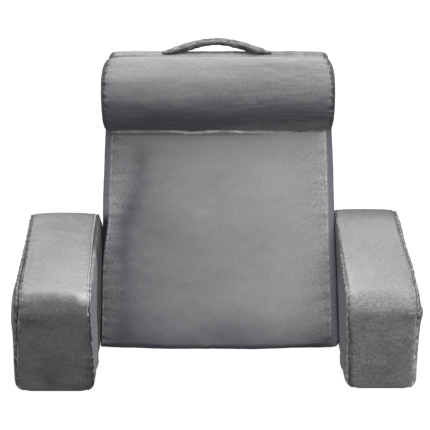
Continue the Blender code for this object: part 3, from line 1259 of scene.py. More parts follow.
@dataclass
class RollCover(Cover):
    """The neck roll's cover, with gathered end seams, pressed flat against the wedge's face."""

    wedge: WedgeCover = None
    radius: float = 0.0712
    seam_x: float = 0.2195
    end_crown: float = 0.0050
    end_rise: float = 0.17
    stands_off: float = 0.0620
    up_face: float = 0.4835
    around: int = 120
    end_rings: int = 14
    spacing: float = 0.0055
    gathers: Gathers = Gathers(0.0105, 21)
    frays: PuckerRow = PuckerRow(0.006, 77)
    tufts: PuckerRow = PuckerRow(0.006, 41)
    pucker_height: float = 0.0016
    pucker_reach: float = 0.007
    seam_groove: Line = Line(strength=0.0012, past=0.0, width=0.0018)
    seam_rounding: float = 0.0020
    upper_rounding: float = 0.0065
    rounding_reach: float = 0.010
    fray_height: float = 0.0024
    upper_draw: float = 0.0045
    broad_humps: Humps = Humps(0.0009, 0.060, 8.3)
    small_humps: Humps = Humps(0.0003, 0.018, 2.3)
    streaks: Humps = Humps(0.07, 0.005, 3.3, (0.16, 1.0, 1.0))
    patches: Humps = Humps(0.03, 0.030, 7.7, (0.5, 1.0, 1.0))
    pile: RollLightAndPile = RollLightAndPile()

    def settle(self, co: Vector, point: RimPoint) -> Vector:
        """Presses the roll flat where it lies on the face."""
        co.y = min(co.y, self.stands_off - CONTACT_GAP)
        return co

    def sculpt(self, cover: bpy.types.Object, profile: Profile) -> None:
        """Draws in and gathers the end seams.

        Args:
            cover: the refined cover, about its own axis.
            profile: the profile that it was lofted from.
        """
        cloth = Surface.read(cover.data)
        points, side = cloth.points, cloth.side
        along = cloth.along + np.where(side > 0, 0.31 * profile.length, 0.0)
        gather = self.gathers.heights(along, profile.length, cloth.seam)
        near_seam = cloth.by_seam(self.pucker_reach)
        lift = self.pucker_height * gather * near_seam
        upper = eased((0.98 * points[:, 2] - 0.19 * points[:, 1]) / self.radius)
        rounding = (self.seam_rounding + self.upper_rounding * upper) * cloth.by_seam(self.rounding_reach)
        lift -= self.seam_groove.at(cloth.seam) + rounding
        lift += self.broad_humps.at(points) + self.small_humps.at(points)
        points += cloth.normals * lift[:, None]
        fray = gather + 0.8 * self.frays.at(along, profile.length)
        points[:, 0] += side * (self.fray_height * fray - 0.0012) * near_seam
        points[:, 0] -= side * self.upper_draw * upper**3 * cloth.by_seam(0.020)
        points[:, 1] = np.minimum(points[:, 1], self.stands_off - CONTACT_GAP)
        write_points(cover.data, points)

    def look(self, cover: bpy.types.Object, profile: Profile) -> None:
        """Paints light and shade into the cover's colour, darker at its left end, with the pile's own streaks
        and patches and painted light and shade on the puckers and tufts of the end seams.

        Args:
            cover: the sculpted cover, in place.
            profile: the profile that it was lofted from.
        """
        cloth = Surface.read(cover.data)
        points, seam, elevation = cloth.points, cloth.seam, elevations(cloth.normals)
        across = (points[:, 0] - self.wedge.middle_x) / self.seam_x
        tone = self.pile.painted_light_along_roll(elevation, across)
        upper = bell(elevation - self.pile.upper_at, self.pile.upper_width)
        left_end = self.pile.left_end * cloth.by_seam(self.pile.left_end_reach) * (across < 0)
        tone *= 1 - left_end * (1 - 0.8 * upper)
        streaks = self.streaks.at(points) * (0.5 + 0.9 * eased((across + 0.1) / 0.6))
        patches = self.patches.at(points)
        tone += (patches + streaks) * (0.3 + 2 * tone)
        # Painted light and shade on the puckers and tufts along the end seams.
        tufts = self.tufts.at(cloth.along, profile.length)
        gather = self.gathers.heights(cloth.along, profile.length, seam)
        tone += (0.08 + tone) * (0.5 * gather + 0.4 * tufts) * cloth.by_seam(0.006)
        tone -= (0.05 + 0.8 * tone) * bell(seam - 0.0045, 0.0060) * (0.80 - 0.25 * tufts)
        lit_tufts = np.maximum(0.0, tufts - 0.25) * eased((across + 0.2) / 0.4)
        tone += 0.30 * bell(seam - 0.0005, 0.0012) * lit_tufts
        bristle = 0.85 + 1.2 * cloth.by_seam(0.010)
        self.set_light_and_pile(cover, np.clip(tone, 0.0, 1.0), np.zeros(len(seam)), bristle)

    def build(self) -> bpy.types.Object:
        """Makes the cover.

        Returns:
            The piece.
        """
        profile = Profile.circle(self.radius, self.around)
        last = self.end_rings - 1
        rings = tuple(0.012 + 0.93 * (k / last) ** 1.5 for k in range(self.end_rings))
        half = band_and_panel(self.seam_x, self.end_crown, self.end_rise, self.spacing, rings)
        cover = Loft(self.name, profile, (0.0, 0.0), half, self.seam_x).build(self.settle)
        pressed = (read_points(cover.data)[:, 1] > self.stands_off - ON_FLOOR).astype(float)
        self.stuff(cover, np.maximum(bell(read_attribute(cover.data, "seam"), HELD_WIDTH), pressed))
        self.refine(cover)
        self.sculpt(cover, profile)
        y, z = self.wedge.on_face(self.up_face, self.stands_off)
        turn = Matrix.Rotation(-self.wedge.lean, 4, "X")
        cover.data.transform(Matrix.Translation((self.wedge.middle_x, y, z)) @ turn)
        self.look(cover, profile)
        return self.finish(cover, [ROLL_PLUSH.material(), ROLL_PLUSH.material()])


@dataclass(frozen=True)
class SideLine:
    """How far from the middle a seam or a side panel lies, at four places along an arm."""

    rear: float
    top: float
    bend: float
    foot: float

    def at(self, way: np.ndarray | float) -> np.ndarray:
        """The distances of the line along the arm.

        Args:
            way: how far back over the arm from its bend, or below 0, down its front.

        Returns:
            One distance for each.
        """
        leg = np.interp(way, (-0.130, 0.0, 0.120, 0.300), (0.0, 1.0, 2.0, 3.0))
        start = np.floor(np.minimum(leg, 2.999))
        places = (self.foot, self.bend, self.top, self.rear)
        return np.interp(start + eased(leg - start), (0, 1, 2, 3), places)


@dataclass(frozen=True)
class ArmLightAndPile:
    """The painted light and shade on an arm: dark as it hangs down its front, lighter as it turns over the
    bend and over its top.
    """

    hanging: float = 0.16
    curling: float = 0.32
    turning: float = 0.42
    shoulder: float = 0.56
    crest: float = 0.70
    flat: float = 0.63
    behind: float = -0.34
    behind_inwards: float = 0.07
    behind_reach: float = 0.090
    forwards: float = 0.05
    inwards: float = 0.08
    bristle: float = 1.25
    fringe: float = 0.32
    lit_seam: float = 0.0
    inner_panel: float = 0.55
    outer_panel: float = 0.55
    dark_seam: float = 0.0045

    def at(self, elevation: np.ndarray) -> np.ndarray:
        """The painted light and shade by how far the cloth faces up.

        Args:
            elevation: how far it does, in degrees.

        Returns:
            One tone for each.
        """
        steps = (self.hanging, self.curling, self.turning, self.shoulder, self.crest, self.flat)
        return np.interp(elevation, (12, 28, 45, 62, 79, 90), steps)


@dataclass
class ArmCover(Cover):
    """A box arm's cover: one band over its top and down its front, between two gathered side seams."""

    wedge: WedgeCover = None
    side: float = 1.0
    inner_seam: SideLine = SideLine(0.2290, 0.2308, 0.2322, 0.2370)
    inner_panel: SideLine = SideLine(0.2282, 0.2300, 0.2275, 0.2290)
    outer_seam: SideLine = SideLine(0.3475, 0.3540, 0.3540, 0.3550)
    outer_panel: SideLine = SideLine(0.3570, 0.3620, 0.3625, 0.3605)
    forward: float = 0.0
    front: float = 0.194
    rear: float = 0.200
    front_height: float = 0.178
    rear_height: float = 0.2210
    seam: float = 0.0625
    top_crown: float = 0.004
    front_crown: float = 0.005
    cross_crown: float = 0.003
    cross_crown_from: float = 0.150
    cross_crown_height: float = 0.050
    side_crown: float = 0.0105
    panel_rise: float = 0.035
    seam_ridge: float = 0.0022
    bend_swell: float = 0.002
    bend_swell_at: float = 0.80
    bend_swell_height: float = 0.030
    bulge: float = 0.0042
    bulge_at: float = 0.142
    bulge_height: float = 0.009
    bulge_depth: float = 0.05
    foot_tuck: float = 0.008
    foot_tuck_height: float = 0.020
    fastened_below: float = 0.150
    free_ahead: float = 0.080
    fastening_ease: float = 0.060
    spacing: float = 0.0048
    band_step: float = 0.0050
    panel_centre: float = 0.52
    middle_out: float = 0.2950
    half_width: float = 0.055
    bend_slant: float = 0.0
    shade_ahead: float = 0.050
    shade_reach: float = 0.020
    pile: ArmLightAndPile = ArmLightAndPile()
    gathers: Gathers = Gathers(0.0100, 31)
    pucker_height: float = 0.0028
    pucker_reach: float = 0.006
    panel_pucker_reach: float = 0.013
    seam_groove: Line = Line(strength=-0.0034, past=0.0004, width=0.0022)
    seam_shoulder: Line = Line(strength=0.0016, past=0.0055, width=0.0030)
    smooth_foot: float = 0.024
    foot_draw: Line = Line(strength=0.0030, past=0.0, width=0.0045)
    slanted_folds: PuckerRow = PuckerRow(0.0065, 17)
    ragged: PuckerRow = PuckerRow(0.011, 13)
    uneven_highlights: PuckerRow = PuckerRow(0.03, 3)
    broad_turns: Humps = Humps(4.0, 0.016, 4.4)
    small_turns: Humps = Humps(4.0, 0.005, 1.9)
    dark_line: Line = Line(strength=0.36, past=0.0010, width=0.0014)
    inner_dark_line: Line = Line(strength=1.0, past=0.0002, width=0.0024)
    seam_lip_highlight: Line = Line(strength=0.26, past=-0.0018, width=0.0010)
    back_tone: float = 0.36

    def profile(self) -> Profile:
        """The arm seen from its side.

        Returns:
            The outline, from the front along the floor.
        """
        front, rear = -self.front - self.forward, self.rear - self.forward
        corners = (
            Corner(front, 0.0, 0.011),
            Corner(rear, 0.0, 0.018, 0.004),
            Corner(rear, self.rear_height, 0.040, self.top_crown),
            Corner(front, self.front_height, 0.046, self.front_crown),
        )
        return Profile.rounded(corners, self.spacing)

    def nearest(self, y: np.ndarray | float, z: np.ndarray | float) -> np.ndarray:
        """How near to the wedge's middle the arm may come.

        Args:
            y: distances from the foot of the face.
            z: heights.

        Returns:
            The distances from the middle: the wedge's side panel, and less in front of the wedge.
        """
        ahead = eased((-self.free_ahead - y) / self.fastening_ease)
        return self.wedge.side_at(self.side, z) + CONTACT_GAP - 1.6 * self.side_crown * ahead

    def settle(self, co: Vector, point: RimPoint) -> Vector:
        """Lays the seams and the side panels on their lines, and the inner side on the wedge.

        Args:
            co: the place of a point on the straight loft.
            point: the point of the profile that it stands for; not used.

        Returns:
            Where it goes.
        """
        way = co.y + self.front + self.forward - max(0.0, self.front_height - co.z)
        inner, outer = float(self.inner_seam.at(way)), float(self.outer_seam.at(way))
        swollen = max(0.0, abs(co.x) - self.seam) / self.side_crown
        nearest = float(self.nearest(co.y, co.z))
        if swollen == 0:
            x = inner + (outer - inner) * (1 + co.x / self.seam) / 2
        elif co.x > 0:
            above_bend = (co.z - self.bend_swell_at * self.front_height) / self.bend_swell_height
            swell = self.bend_swell * math.exp(-(above_bend**2)) * smooth_step(-co.y / self.front)
            above_bulge = (co.z - self.bulge_at) / self.bulge_height
            swell += self.bulge * math.exp(-(above_bulge**2) - ((way / self.bulge_depth) ** 2))
            x = outer + (float(self.outer_panel.at(way)) + swell - outer) * swollen
        else:
            fastened = smooth_step((self.fastened_below - co.z) / self.fastening_ease)
            fastened *= 1 - smooth_step((-self.free_ahead - co.y) / self.fastening_ease)
            x = inner + (float(self.inner_panel.at(way)) - inner) * swollen
            x += (nearest - x) * swollen * fastened
        across = max(0.0, 1 - (co.x / self.seam) ** 2)
        upper = smooth_step((co.z - self.cross_crown_from) / self.cross_crown_height)
        co.z += self.cross_crown * across * upper
        low = max(0.0, 1 - co.z / self.foot_tuck_height)
        tuck = self.foot_tuck * low**2 * smooth_step(-co.y / self.front)
        x -= tuck * co.x / self.seam
        co.x = max(x, nearest)
        co.z = max(0.0, co.z)
        return co

    def sculpt(self, cover: bpy.types.Object, profile: Profile) -> None:
        """Draws in and gathers the two side seams, and leaves the band a little uneven.

        Args:
            cover: the refined cover, in the arm's own sizes.
            profile: the profile that it was lofted from.
        """
        cloth = Surface.read(cover.data)
        points, seam = cloth.points, cloth.seam
        off_floor = eased((points[:, 2] - ON_FLOOR) / self.smooth_foot)
        reach = np.where(seam > 0, self.panel_pucker_reach, self.pucker_reach)
        lift = self.pucker_height * self.gather_at(cloth, profile) * cloth.by_seam(reach)
        lift += self.seam_groove.at(seam) + self.seam_shoulder.at(np.abs(seam))
        lift *= off_floor
        lift += Humps(0.0011, 0.055, 3.0 * self.side).at(points) * off_floor
        points += cloth.normals * lift[:, None]
        at_foot = 1 - eased(points[:, 2] / self.smooth_foot)
        points[:, 1] += at_foot * self.foot_draw.at(seam) * (points[:, 1] < 0)
        points[:, 0] = np.maximum(points[:, 0], self.nearest(points[:, 1], points[:, 2]))
        points[:, 2] = np.maximum(points[:, 2], 0.0)
        write_points(cover.data, points)

    def gather_at(self, cloth: Surface, profile: Profile) -> np.ndarray:
        """The puckers at each point, different along the two side seams."""
        shifted = cloth.along + np.where(cloth.side > 0, 0.0, 0.43 * profile.length)
        return self.gathers.heights(shifted, profile.length, cloth.seam)

    def band_tone(
        self, cloth: Surface, turning: np.ndarray, ahead: np.ndarray, inwards: np.ndarray
    ) -> np.ndarray:
        """The painted light and shade on the band, with the pile's own patches and bands.

        Args:
            cloth: the cover's surface.
            turning: how far its pile faces up, in degrees.
            ahead: how far each place lies in front of the foot of the face.
            inwards: the places across the arm, from -1 at its outer side to 1 at its inner one.

        Returns:
            The tones.
        """
        points, pile = cloth.points, self.pile
        over = np.clip(ahead / self.front, -1.0, 1.0)
        # Painted light and shade by how far the band faces up, brighter on top towards the front and the
        # inner side.
        tone = pile.at(turning)
        on_top = eased((turning - 55) / 25)
        tone += on_top * (pile.forwards * over + pile.inwards * inwards * eased(over + 0.4))
        # Painted shade along the rear edge, where the top turns away.
        from_rear = self.rear - self.forward - (points[:, 1] - self.wedge.foot_y)
        rear_edge = eased((0.020 + pile.behind_reach - from_rear) / pile.behind_reach) * (cloth.seam < 0)
        tone += rear_edge * (pile.behind + pile.behind_inwards * inwards)
        tone += on_top * Humps(0.03, 0.022, 8.8).at(points)
        # Painted sheen along the inner seam at the bend.
        at_bend = eased((turning - 45) / 15) * eased(over / 0.5)
        tone += 0.09 * at_bend * bell(cloth.seam + 0.010, 0.009) * (cloth.side < 0)
        bands = Humps(1.0, 0.007, 6.1, (0.25, 0.25, 1.0)).at(points)
        bands += Humps(1.0, 0.016, 7.3, (0.5, 0.5, 1.0)).at(points)
        return tone + 0.22 * pile.hanging * (1 - on_top) * bands

    def panel_tone(self, cloth: Surface) -> np.ndarray:
        """How light the sleeker side panels look: painted light where they face up, and painted light and
        shade of upright folds.

        Args:
            cloth: the cover's surface.

        Returns:
            The tones.
        """
        points, inner = cloth.points, cloth.side < 0
        folds = Humps(1.0, 0.012, 5.5, (1.0, 1.0, 0.2)).at(points)
        folds += Humps(0.8, 0.006, 2.5, (1.0, 1.0, 0.12)).at(points)
        tone = np.where(inner, self.pile.inner_panel, self.pile.outer_panel) + 0.20 * cloth.normals[:, 2]
        return np.clip(tone + folds * np.where(inner, 0.19, 0.13), 0.0, 1.3)

    def seam_tone(
        self, tone: np.ndarray, cloth: Surface, profile: Profile, turning: np.ndarray
    ) -> np.ndarray:
        """Adds painted light and shade on the ruffles along the seams, painted shade in their jagged grooves,
        a painted highlight on the edge beside them, and a darker band along the inner seam low on the front.

        Args:
            tone: the tones so far.
            cloth: the cover's surface.
            profile: the profile that the cover was lofted from.
            turning: how far its pile faces up, in degrees.

        Returns:
            The tones.
        """
        points, seam, along, pile = cloth.points, cloth.seam, cloth.along, self.pile
        inner, outer = cloth.side < 0, cloth.side > 0
        # Painted light and shade on the ruffles, lighter where the puckers stand up.
        slanted = self.slanted_folds.at(along + 0.9 * seam, profile.length)
        ruffle = 0.6 * (self.gather_at(cloth, profile) + slanted)
        ruffle = ruffle * cloth.by_seam(np.where(seam > 0, 0.018, 0.006))
        tone = tone + ruffle * np.where(seam > 0, 0.80, 0.10) * (0.12 + tone)
        uneven = self.ragged.at(along, profile.length)
        jagged = seam - 0.0008 * uneven
        off_floor = eased(points[:, 2] / 0.010)
        in_front = self.wedge.foot_y - points[:, 1] - self.forward > 0
        low = eased((0.15 - points[:, 2]) / 0.04) * in_front
        sewn = np.where(outer, 0.75 * (1 - low * (pile.fringe > 0)), 1.0)
        # Painted shade in the jagged seam grooves, deeper along the inner seam below the top.
        tone -= self.dark_line.at(jagged) * (0.6 + tone) * off_floor * sewn
        inner_dark = self.inner_dark_line.at(jagged) * inner * eased((60 - turning) / 20)
        tone -= (0.95 * tone + 0.03) * inner_dark * off_floor
        # Painted highlight on the edge of the band beside the seam.
        highlight_strength = 0.35 + 0.8 * self.uneven_highlights.at(along, profile.length) + 0.3 * uneven
        tone += self.seam_lip_highlight.at(jagged) * np.maximum(0.0, highlight_strength)
        tone += pile.lit_seam * bell(seam + 0.0022, 0.0013) * inner * eased((turning - 25) / 15)
        tone += pile.fringe * low * outer * bell(seam - 0.0005, 0.0065) * (0.9 + 0.5 * uneven)
        # A darker band along the inner seam, low on the front.
        dark_inner_band = bell(jagged + 0.0035, pile.dark_seam) * (0.7 + 0.4 * uneven)
        return tone - (0.02 + 0.55 * tone) * low * inner * dark_inner_band

    def shaded(self, tone: np.ndarray, cloth: Surface, sleek: np.ndarray) -> np.ndarray:
        """Paints shade on the inner side panel high up beside the face, and in the crevice by the wedge.

        Args:
            tone: the tones so far.
            cloth: the cover's surface.
            sleek: 1 on the sleeker cloth of the side panels.

        Returns:
            The tones.
        """
        points, on_inner_panel = cloth.points, (cloth.side < 0) * (cloth.seam > 0.001)
        height, behind_foot = points[:, 2], points[:, 1] - self.wedge.foot_y
        high = eased((behind_foot + 0.015) / 0.030) * eased((height - 0.125) / 0.025)
        high = np.clip(high * (1.0 - Humps(0.9, 0.0035, 5.8).at(points)), 0.0, 1.0)
        tone = tone - (tone + 0.02) * 0.8 * high * on_inner_panel
        into_wedge = behind_foot - height * math.tan(self.wedge.lean)
        apart = self.side * (points[:, 0] - self.wedge.middle_x) - self.wedge.side_at(self.side, height)
        crevice = eased((into_wedge + self.shade_ahead - 0.020 * eased((height - 0.15) / 0.04)) / 0.030)
        crevice *= eased((self.shade_reach - apart) / (0.4 * self.shade_reach))
        return tone - (tone + DEEPEST * (1 + sleek)) * crevice * on_inner_panel

    def look(self, cover: bpy.types.Object, profile: Profile) -> None:
        """Paints light and shade into the cover's colour, with the pile's own patches, and says where the
        sleeker side panel begins.

        Args:
            cover: the sculpted cover, in place.
            profile: the profile that it was lofted from.
        """
        cloth = Surface.read(cover.data)
        points, seam = cloth.points, cloth.seam
        ahead = self.wedge.foot_y - points[:, 1] - self.forward
        out = self.side * (points[:, 0] - self.wedge.middle_x)
        inwards = np.clip((self.middle_out - out) / self.half_width, -1.0, 1.0)
        turning = elevations(cloth.normals) + self.broad_turns.at(points) + self.small_turns.at(points)
        turning += self.bend_slant * np.maximum(0.0, inwards) ** 3
        tone = self.band_tone(cloth, turning, ahead, inwards)
        ease_from, ease_over = (np.where(cloth.side < 0, *pair) for pair in ((0.003, 0.008), (0.007, 0.014)))
        from_band = eased((seam - ease_from) / ease_over) * (seam > 0)
        tone += (self.panel_tone(cloth) - tone) * from_band
        tone = self.seam_tone(tone, cloth, profile, turning)
        sleek = eased((seam - 0.010) / 0.010)
        tone = self.shaded(tone, cloth, sleek)
        # Cloth that faces back keeps a mid tone, out of the painted shade of the front.
        facing_back = self.back_tone * eased((cloth.normals[:, 1] - 0.6) / 0.35)
        tone = np.where(seam < 0, np.maximum(tone, facing_back), tone)
        bristle = 0.8 + 0.7 * eased((50 - turning) / 25) + 0.6 * bell(turning - 48, 14)
        bristle = self.pile.bristle * bristle + 0.8 * cloth.by_seam(0.012)
        self.set_light_and_pile(cover, np.clip(tone, -DEEPEST * (1 + sleek), 1.2), sleek, bristle)

    def build(self) -> bpy.types.Object:
        """Makes the cover.

        Returns:
            The piece.
        """
        profile = self.profile()
        half = band_and_panel(
            self.seam, self.side_crown, self.panel_rise, self.band_step, PANEL_RINGS, self.seam_ridge
        )
        loft = Loft(self.name, profile, (0.0, self.front_height * self.panel_centre), half, self.seam)
        cover = loft.build(self.settle)
        points = read_points(cover.data)
        pressed = points[:, 0] < self.nearest(points[:, 1], points[:, 2]) + 0.001
        lies = np.maximum(points[:, 2] < ON_FLOOR, pressed).astype(float)
        self.stuff(cover, np.maximum(bell(read_attribute(cover.data, "seam"), HELD_WIDTH), lies))
        self.refine(cover)
        self.sculpt(cover, profile)
        mirror = Matrix.Diagonal((self.side, 1.0, 1.0, 1.0))
        place = Matrix.Translation((self.wedge.middle_x, self.wedge.foot_y, 0.0))
        cover.data.transform(place @ mirror)
        if self.side < 0:
            cover.data.flip_normals()
        self.look(cover, profile)
        return self.finish(cover, [ARM_PLUSH.material(), PANEL_PLUSH.material()])


def pucker(along: float, pitch: float, phase: float) -> float:
    """Uneven waves along a seam, from -1 to 1."""
    turn = math.tau * along / pitch
    return 0.6 * math.sin(turn + phase) + 0.4 * math.sin(1.63 * turn + 2.1 * phase)


@dataclass
class Tube:
    """Carries a ring of points through stations along X, closed at both ends."""

    name: str
    around: int
    stations: int

    def build(self, place: Callable[[float, float], tuple[Vector, float]]) -> bpy.types.Object:
        """Makes the form.

        Args:
            place: gives each point and its tone, from its share of the length and its turn round the ring.

        Returns:
            The closed mesh object.
        """
        bm = bmesh.new()
        for name in (TONE, SMOOTH, BRISTLE):
            bm.verts.layers.float.new(name)
        lap = bm.verts.layers.float.new("lap")
        cloth = bm.loops.layers.uv.new(CLOTH_UV)
        first_ring = [bm.verts.new((0.0, 0.0, 0.0)) for _ in range(self.around)]
        tone, bristle = (bm.verts.layers.float[name] for name in (TONE, BRISTLE))
        ring = bm.faces.new(first_ring)
        for station in range(self.stations + 1):
            if station:
                ring = bmesh.ops.extrude_discrete_faces(bm, faces=[ring])["faces"][0]
            for k, vertex in enumerate(ring.verts):
                vertex.co, vertex[tone] = place(station / self.stations, math.tau * k / self.around)
                vertex[bristle] = 1.0
                vertex[lap] = k / self.around
        caps = [ring, bm.faces.new(first_ring)]
        bmesh.ops.poke(bm, faces=caps)
        bmesh.ops.recalc_face_normals(bm, faces=bm.faces)
        for face in bm.faces:
            laps = [loop.vert[lap] for loop in face.loops]
            wraps = max(laps) - min(laps) > 0.5
            for loop, turn in zip(face.loops, laps):
                loop[cloth].uv = (loop.vert.co.x, 0.03 * (turn + (1.0 if wraps and turn < 0.5 else 0.0)))
        return linked_object(bm, self.name)


@dataclass
class RollSeam:
    """The frayed welt that joins the roll's cover to the face, just below the roll."""

    wedge: WedgeCover
    up_face: float = 0.4230
    radius: float = 0.0027
    half_length: float = 0.205
    wave: float = 0.0022
    wave_pitch: float = 0.150
    fray_size: float = 0.006
    fine_fray_size: float = 0.0025
    light_patch_size: float = 0.025

    def place(self, share: float, turn: float) -> tuple[Vector, float]:
        """A point of the welt, and its painted light there.

        Args:
            share: how far along it lies, from 0 to 1.
            turn: how far round it lies.

        Returns:
            The place and the tone.
        """
        x = self.half_length * (2 * share - 1)
        end = min(1.0, (1 - abs(2 * share - 1)) * 16)
        frayed = noise.noise(Vector((x / self.fray_size, 2.3, 0.7)))
        frayed += 0.6 * noise.noise(Vector((x / self.fine_fray_size, 5.1, turn)))
        radius = self.radius * (0.95 + 0.45 * frayed) * (0.35 + 0.65 * end)
        up = self.up_face + self.wave * pucker(x, self.wave_pitch, 0.7) + 1.3 * radius * math.sin(turn)
        off = self.radius + CONTACT_GAP + radius * math.cos(turn)
        y, z = self.wedge.on_face(up, max(off, CONTACT_GAP))
        # The welt is painted light, standing out of the roll's shadow, with painted shade to the right where
        # it runs under the roll's edge, and darker towards its left end.
        fades = smooth_step((x - 0.085) / 0.09)
        light = 1.0 + 0.45 * noise.noise(Vector((x / self.light_patch_size, 0.0, 9.0))) - 0.72 * fades
        light *= 0.55 + 0.45 * smooth_step((x + 0.13) / 0.08)
        return Vector((self.wedge.middle_x + x, y, z)), light

    def build(self) -> bpy.types.Object:
        """Makes the welt.

        Returns:
            The piece.
        """
        welt = Tube("roll_seam", 10, 400).build(self.place)
        welt.data.materials.append(SEAM_PLUSH.material())
        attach(welt, BODY)
        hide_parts("roll_welt")
        LOG.info("roll_seam: %d faces", len(welt.data.polygons))
        return welt


@dataclass
class CarryStrap:
    """The soft strap on top: flat sewn ends, and a padded arch between them."""

    wedge: WedgeCover
    half_length: float = 0.109
    tab: float = 0.006
    off_middle: float = -0.003
    width: float = 0.0215
    tab_thickness: float = 0.0042
    top: float = 0.0296
    under: float = 0.0185
    from_back: float = 0.0262
    crease: float = 0.0007
    crease_size: float = 0.008
    gathered_from: float = 0.62
    hem_at: float = 0.72
    hem_width: float = 0.10
    tip_draw: float = 0.42
    tip_from: float = 0.78
    streak_size: float = 0.012

    def place(self, share: float, turn: float) -> tuple[Vector, float]:
        """A point of the strap, and its painted light and shade there.

        Args:
            share: how far along it lies, from 0 to 1.
            turn: how far round it lies.

        Returns:
            The place and the tone.
        """
        along = 2 * share - 1
        x = along * self.half_length
        strip_front = (self.wedge.height - self.wedge.top_drop) * math.tan(self.wedge.lean)
        slope = self.wedge.top_drop / (self.wedge.depth - strip_front)
        arch = math.cos(min(1.0, abs(along) / (1 - self.tab / self.half_length)) * math.pi / 2)
        top = self.tab_thickness + (self.top - self.tab_thickness) * arch
        under = self.under * arch**2.4
        across = math.copysign(abs(math.cos(turn)) ** 0.75, math.cos(turn))
        level = math.copysign(abs(math.sin(turn)) ** 0.8, math.sin(turn))
        end = min(1.0, (1 - abs(along)) * 30)
        gathered = smooth_step((abs(along) - self.gathered_from) / 0.30)
        creased = noise.noise(Vector((x / self.crease_size, across * 1.2, 3.0 + level * 0.3)))
        crease = self.crease * (1 + gathered) * creased
        from_hem = (abs(across) - self.hem_at) / self.hem_width
        hem = -self.crease * math.exp(-(from_hem**2)) * (1 if level > 0 else 0)
        drawn = smooth_step((abs(along) - self.tip_from) / 0.20)
        half = (self.width / 2) * (0.82 + 0.18 * end) * (1 - self.tip_draw * drawn)
        y = across * half + 2 * crease - 0.0015 * drawn
        seat = CONTACT_GAP + slope * y
        thickness = (top - under) / 2
        z = seat + (top + under) / 2 + level * thickness * (0.6 + 0.4 * end)
        z += (crease + hem) * min(1.0, 4 * arch)
        streak = noise.noise(Vector((x / self.streak_size, 6 * across + 5 * level, 1.7)))
        # Painted light on the strap's top and painted shade on its front and lower side, lighter on raised
        # creases and darker at the gathered tips.
        light = 0.050 + 0.45 * smooth_step((level - 0.20) / 0.60) * smooth_step(1.6 + 1.2 * across)
        light *= (1 + 0.9 * streak + 0.6 * crease / self.crease) * (1 - 0.45 * drawn)
        light = max(0.0, light)
        base_y = self.wedge.foot_y + self.wedge.depth - self.from_back
        base_z = self.wedge.height - slope * self.from_back
        return Vector((self.wedge.middle_x + self.off_middle + x, base_y + y, base_z + z)), light

    def build(self) -> bpy.types.Object:
        """Makes the strap.

        Returns:
            The piece.
        """
        strap = Tube("strap", 28, 260).build(self.place)
        strap.data.materials.append(STRAP_PLUSH.material())
        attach(strap, BODY)
        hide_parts("carry_handle")
        LOG.info("strap: %d faces", len(strap.data.polygons))
        return strap


# --- Studio -------------------------------------------------------------------------------------


@dataclass(frozen=True)
class Lamp:
    """A wide soft light: its strength, and in degrees its spread, how high it hangs, and its turn."""

    name: str
    strength: float
    spread: float
    elevation: float
    turn: float

    def hang(self) -> None:
        """Adds the light to the scene."""
        data = bpy.data.lights.new(self.name, "SUN")
        data.energy = self.strength
        data.angle = math.radians(self.spread)
        light = bpy.data.objects.new(self.name, data)
        light.rotation_euler = (math.radians(90 - self.elevation), 0.0, math.radians(self.turn))
        bpy.context.scene.collection.objects.link(light)


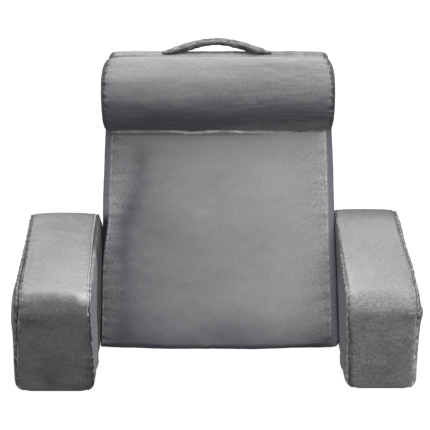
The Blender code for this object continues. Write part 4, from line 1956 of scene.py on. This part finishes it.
@dataclass
class Studio:
    """The white floor, the soft lights and the camera."""

    middle: Vector
    wedge_foot_y: float
    focal_pixels: float = 1632.4
    frame_pixels: float = 430.0
    distance: float = 3.046
    elevation: float = math.radians(20)
    target_height: float = 0.267
    middle_pixel: float = 218.0
    world_strength: float = 0.28
    lamps: tuple[Lamp, ...] = (
        Lamp("softbox", strength=2.4, spread=60, elevation=50, turn=8),
        Lamp("fill", strength=0.9, spread=40, elevation=16, turn=-4),
        Lamp("behind", strength=1.3, spread=50, elevation=4, turn=180),
    )

    def floor(self) -> None:
        """Lays the floor, which isn't part of the pillow."""
        bm = bmesh.new()
        bmesh.ops.create_grid(bm, x_segments=1, y_segments=1, size=30.0)
        floor = linked_object(bm, "floor")
        graph = ShaderGraph("floor_white")
        graph.shader.inputs["Base Color"].default_value = (0.35, 0.35, 0.35, 1.0)
        graph.shader.inputs["Roughness"].default_value = 1.0
        graph.shader.inputs["Specular IOR Level"].default_value = 0.0
        graph.shader.inputs["Emission Color"].default_value = (1.0, 1.0, 1.0, 1.0)
        graph.shader.inputs["Emission Strength"].default_value = 0.85
        floor.data.materials.append(graph.material)
        floor.visible_diffuse = False
        floor.visible_glossy = False

    def lights(self) -> None:
        """Hangs a soft light high in front and weaker ones low in front and behind, and fills the shade."""
        for lamp in self.lamps:
            lamp.hang()
        world = bpy.data.worlds.new("studio")
        world.use_nodes = True
        background = world.node_tree.nodes["Background"]
        background.inputs["Color"].default_value = (1.0, 1.0, 1.0, 1.0)
        background.inputs["Strength"].default_value = self.world_strength
        scene = bpy.context.scene
        scene.world = world
        scene.view_settings.view_transform = "Standard"

    def camera(self) -> None:
        """Sets the camera as the photograph's was, level with the object's middle."""
        data = bpy.data.cameras.new("camera")
        data.sensor_width = 36.0
        data.lens = self.focal_pixels / self.frame_pixels * data.sensor_width
        data.shift_x = (self.frame_pixels / 2 - self.middle_pixel) / self.frame_pixels
        camera = bpy.data.objects.new("camera", data)
        back = self.distance * math.cos(self.elevation)
        up = self.target_height + self.distance * math.sin(self.elevation)
        camera.location = (self.middle.x, self.wedge_foot_y - back, up)
        camera.rotation_euler = (math.radians(90) - self.elevation, 0.0, 0.0)
        bpy.context.scene.collection.objects.link(camera)
        bpy.context.scene.camera = camera


def main() -> None:
    """Builds the pillow piece by piece and reports each one."""
    logging.basicConfig(level=logging.INFO, format="%(message)s")
    face_filling = Stuffing(pressure=3.0, reach=0.0015, slack=0.010)
    roll_filling = Stuffing(pressure=4.0, reach=0.0015, slack=0.015)
    arm_filling = Stuffing(pressure=4.0, reach=0.0018, slack=0.015)
    wedge = WedgeCover("wedge_cover", "back_wedge", PLUSH_SLOT, fill=0.9, stuffing=face_filling)
    studio = Studio(Vector((wedge.middle_x, 0.0, 0.0)), wedge.foot_y)
    studio.camera()
    wedge.build()
    RollCover("roll_cover", "neck_roll", PLUSH_SLOT, fill=0.8, stuffing=roll_filling, wedge=wedge).build()
    ArmCover(
        "arm_left_cover", "arm_left", PLUSH_SLOT, fill=0.75, stuffing=arm_filling, wedge=wedge, side=-1.0,
        inner_seam=SideLine(0.2385, 0.2338, 0.2285, 0.2245),
        inner_panel=SideLine(0.2312, 0.2305, 0.2262, 0.2225),
        outer_seam=SideLine(0.3640, 0.3590, 0.3540, 0.3615),
        outer_panel=SideLine(0.3685, 0.3685, 0.3685, 0.3690),
        forward=0.012, rear_height=0.2170, fastened_below=0.212, bend_slant=12.0,
        shade_ahead=0.150, shade_reach=0.0045, bulge=0.0, foot_tuck=0.012,
        pile=ArmLightAndPile(
            hanging=0.066, curling=0.10, turning=0.13, shoulder=0.35, crest=0.71, flat=0.57,
            behind=-0.16, behind_inwards=-0.08, behind_reach=0.035, forwards=0.12, inwards=0.09,
            bristle=0.90, fringe=0.0, lit_seam=0.45, inner_panel=1.25, dark_seam=0.010,
        ),
    ).build()
    ArmCover(
        "arm_right_cover", "arm_right", PLUSH_SLOT, fill=0.75, stuffing=arm_filling, wedge=wedge,
        gathers=Gathers(0.0100, 57),
    ).build()
    RollSeam(wedge).build()
    CarryStrap(wedge).build()
    studio.floor()
    studio.lights()


if __name__ == "__main__":
    main()
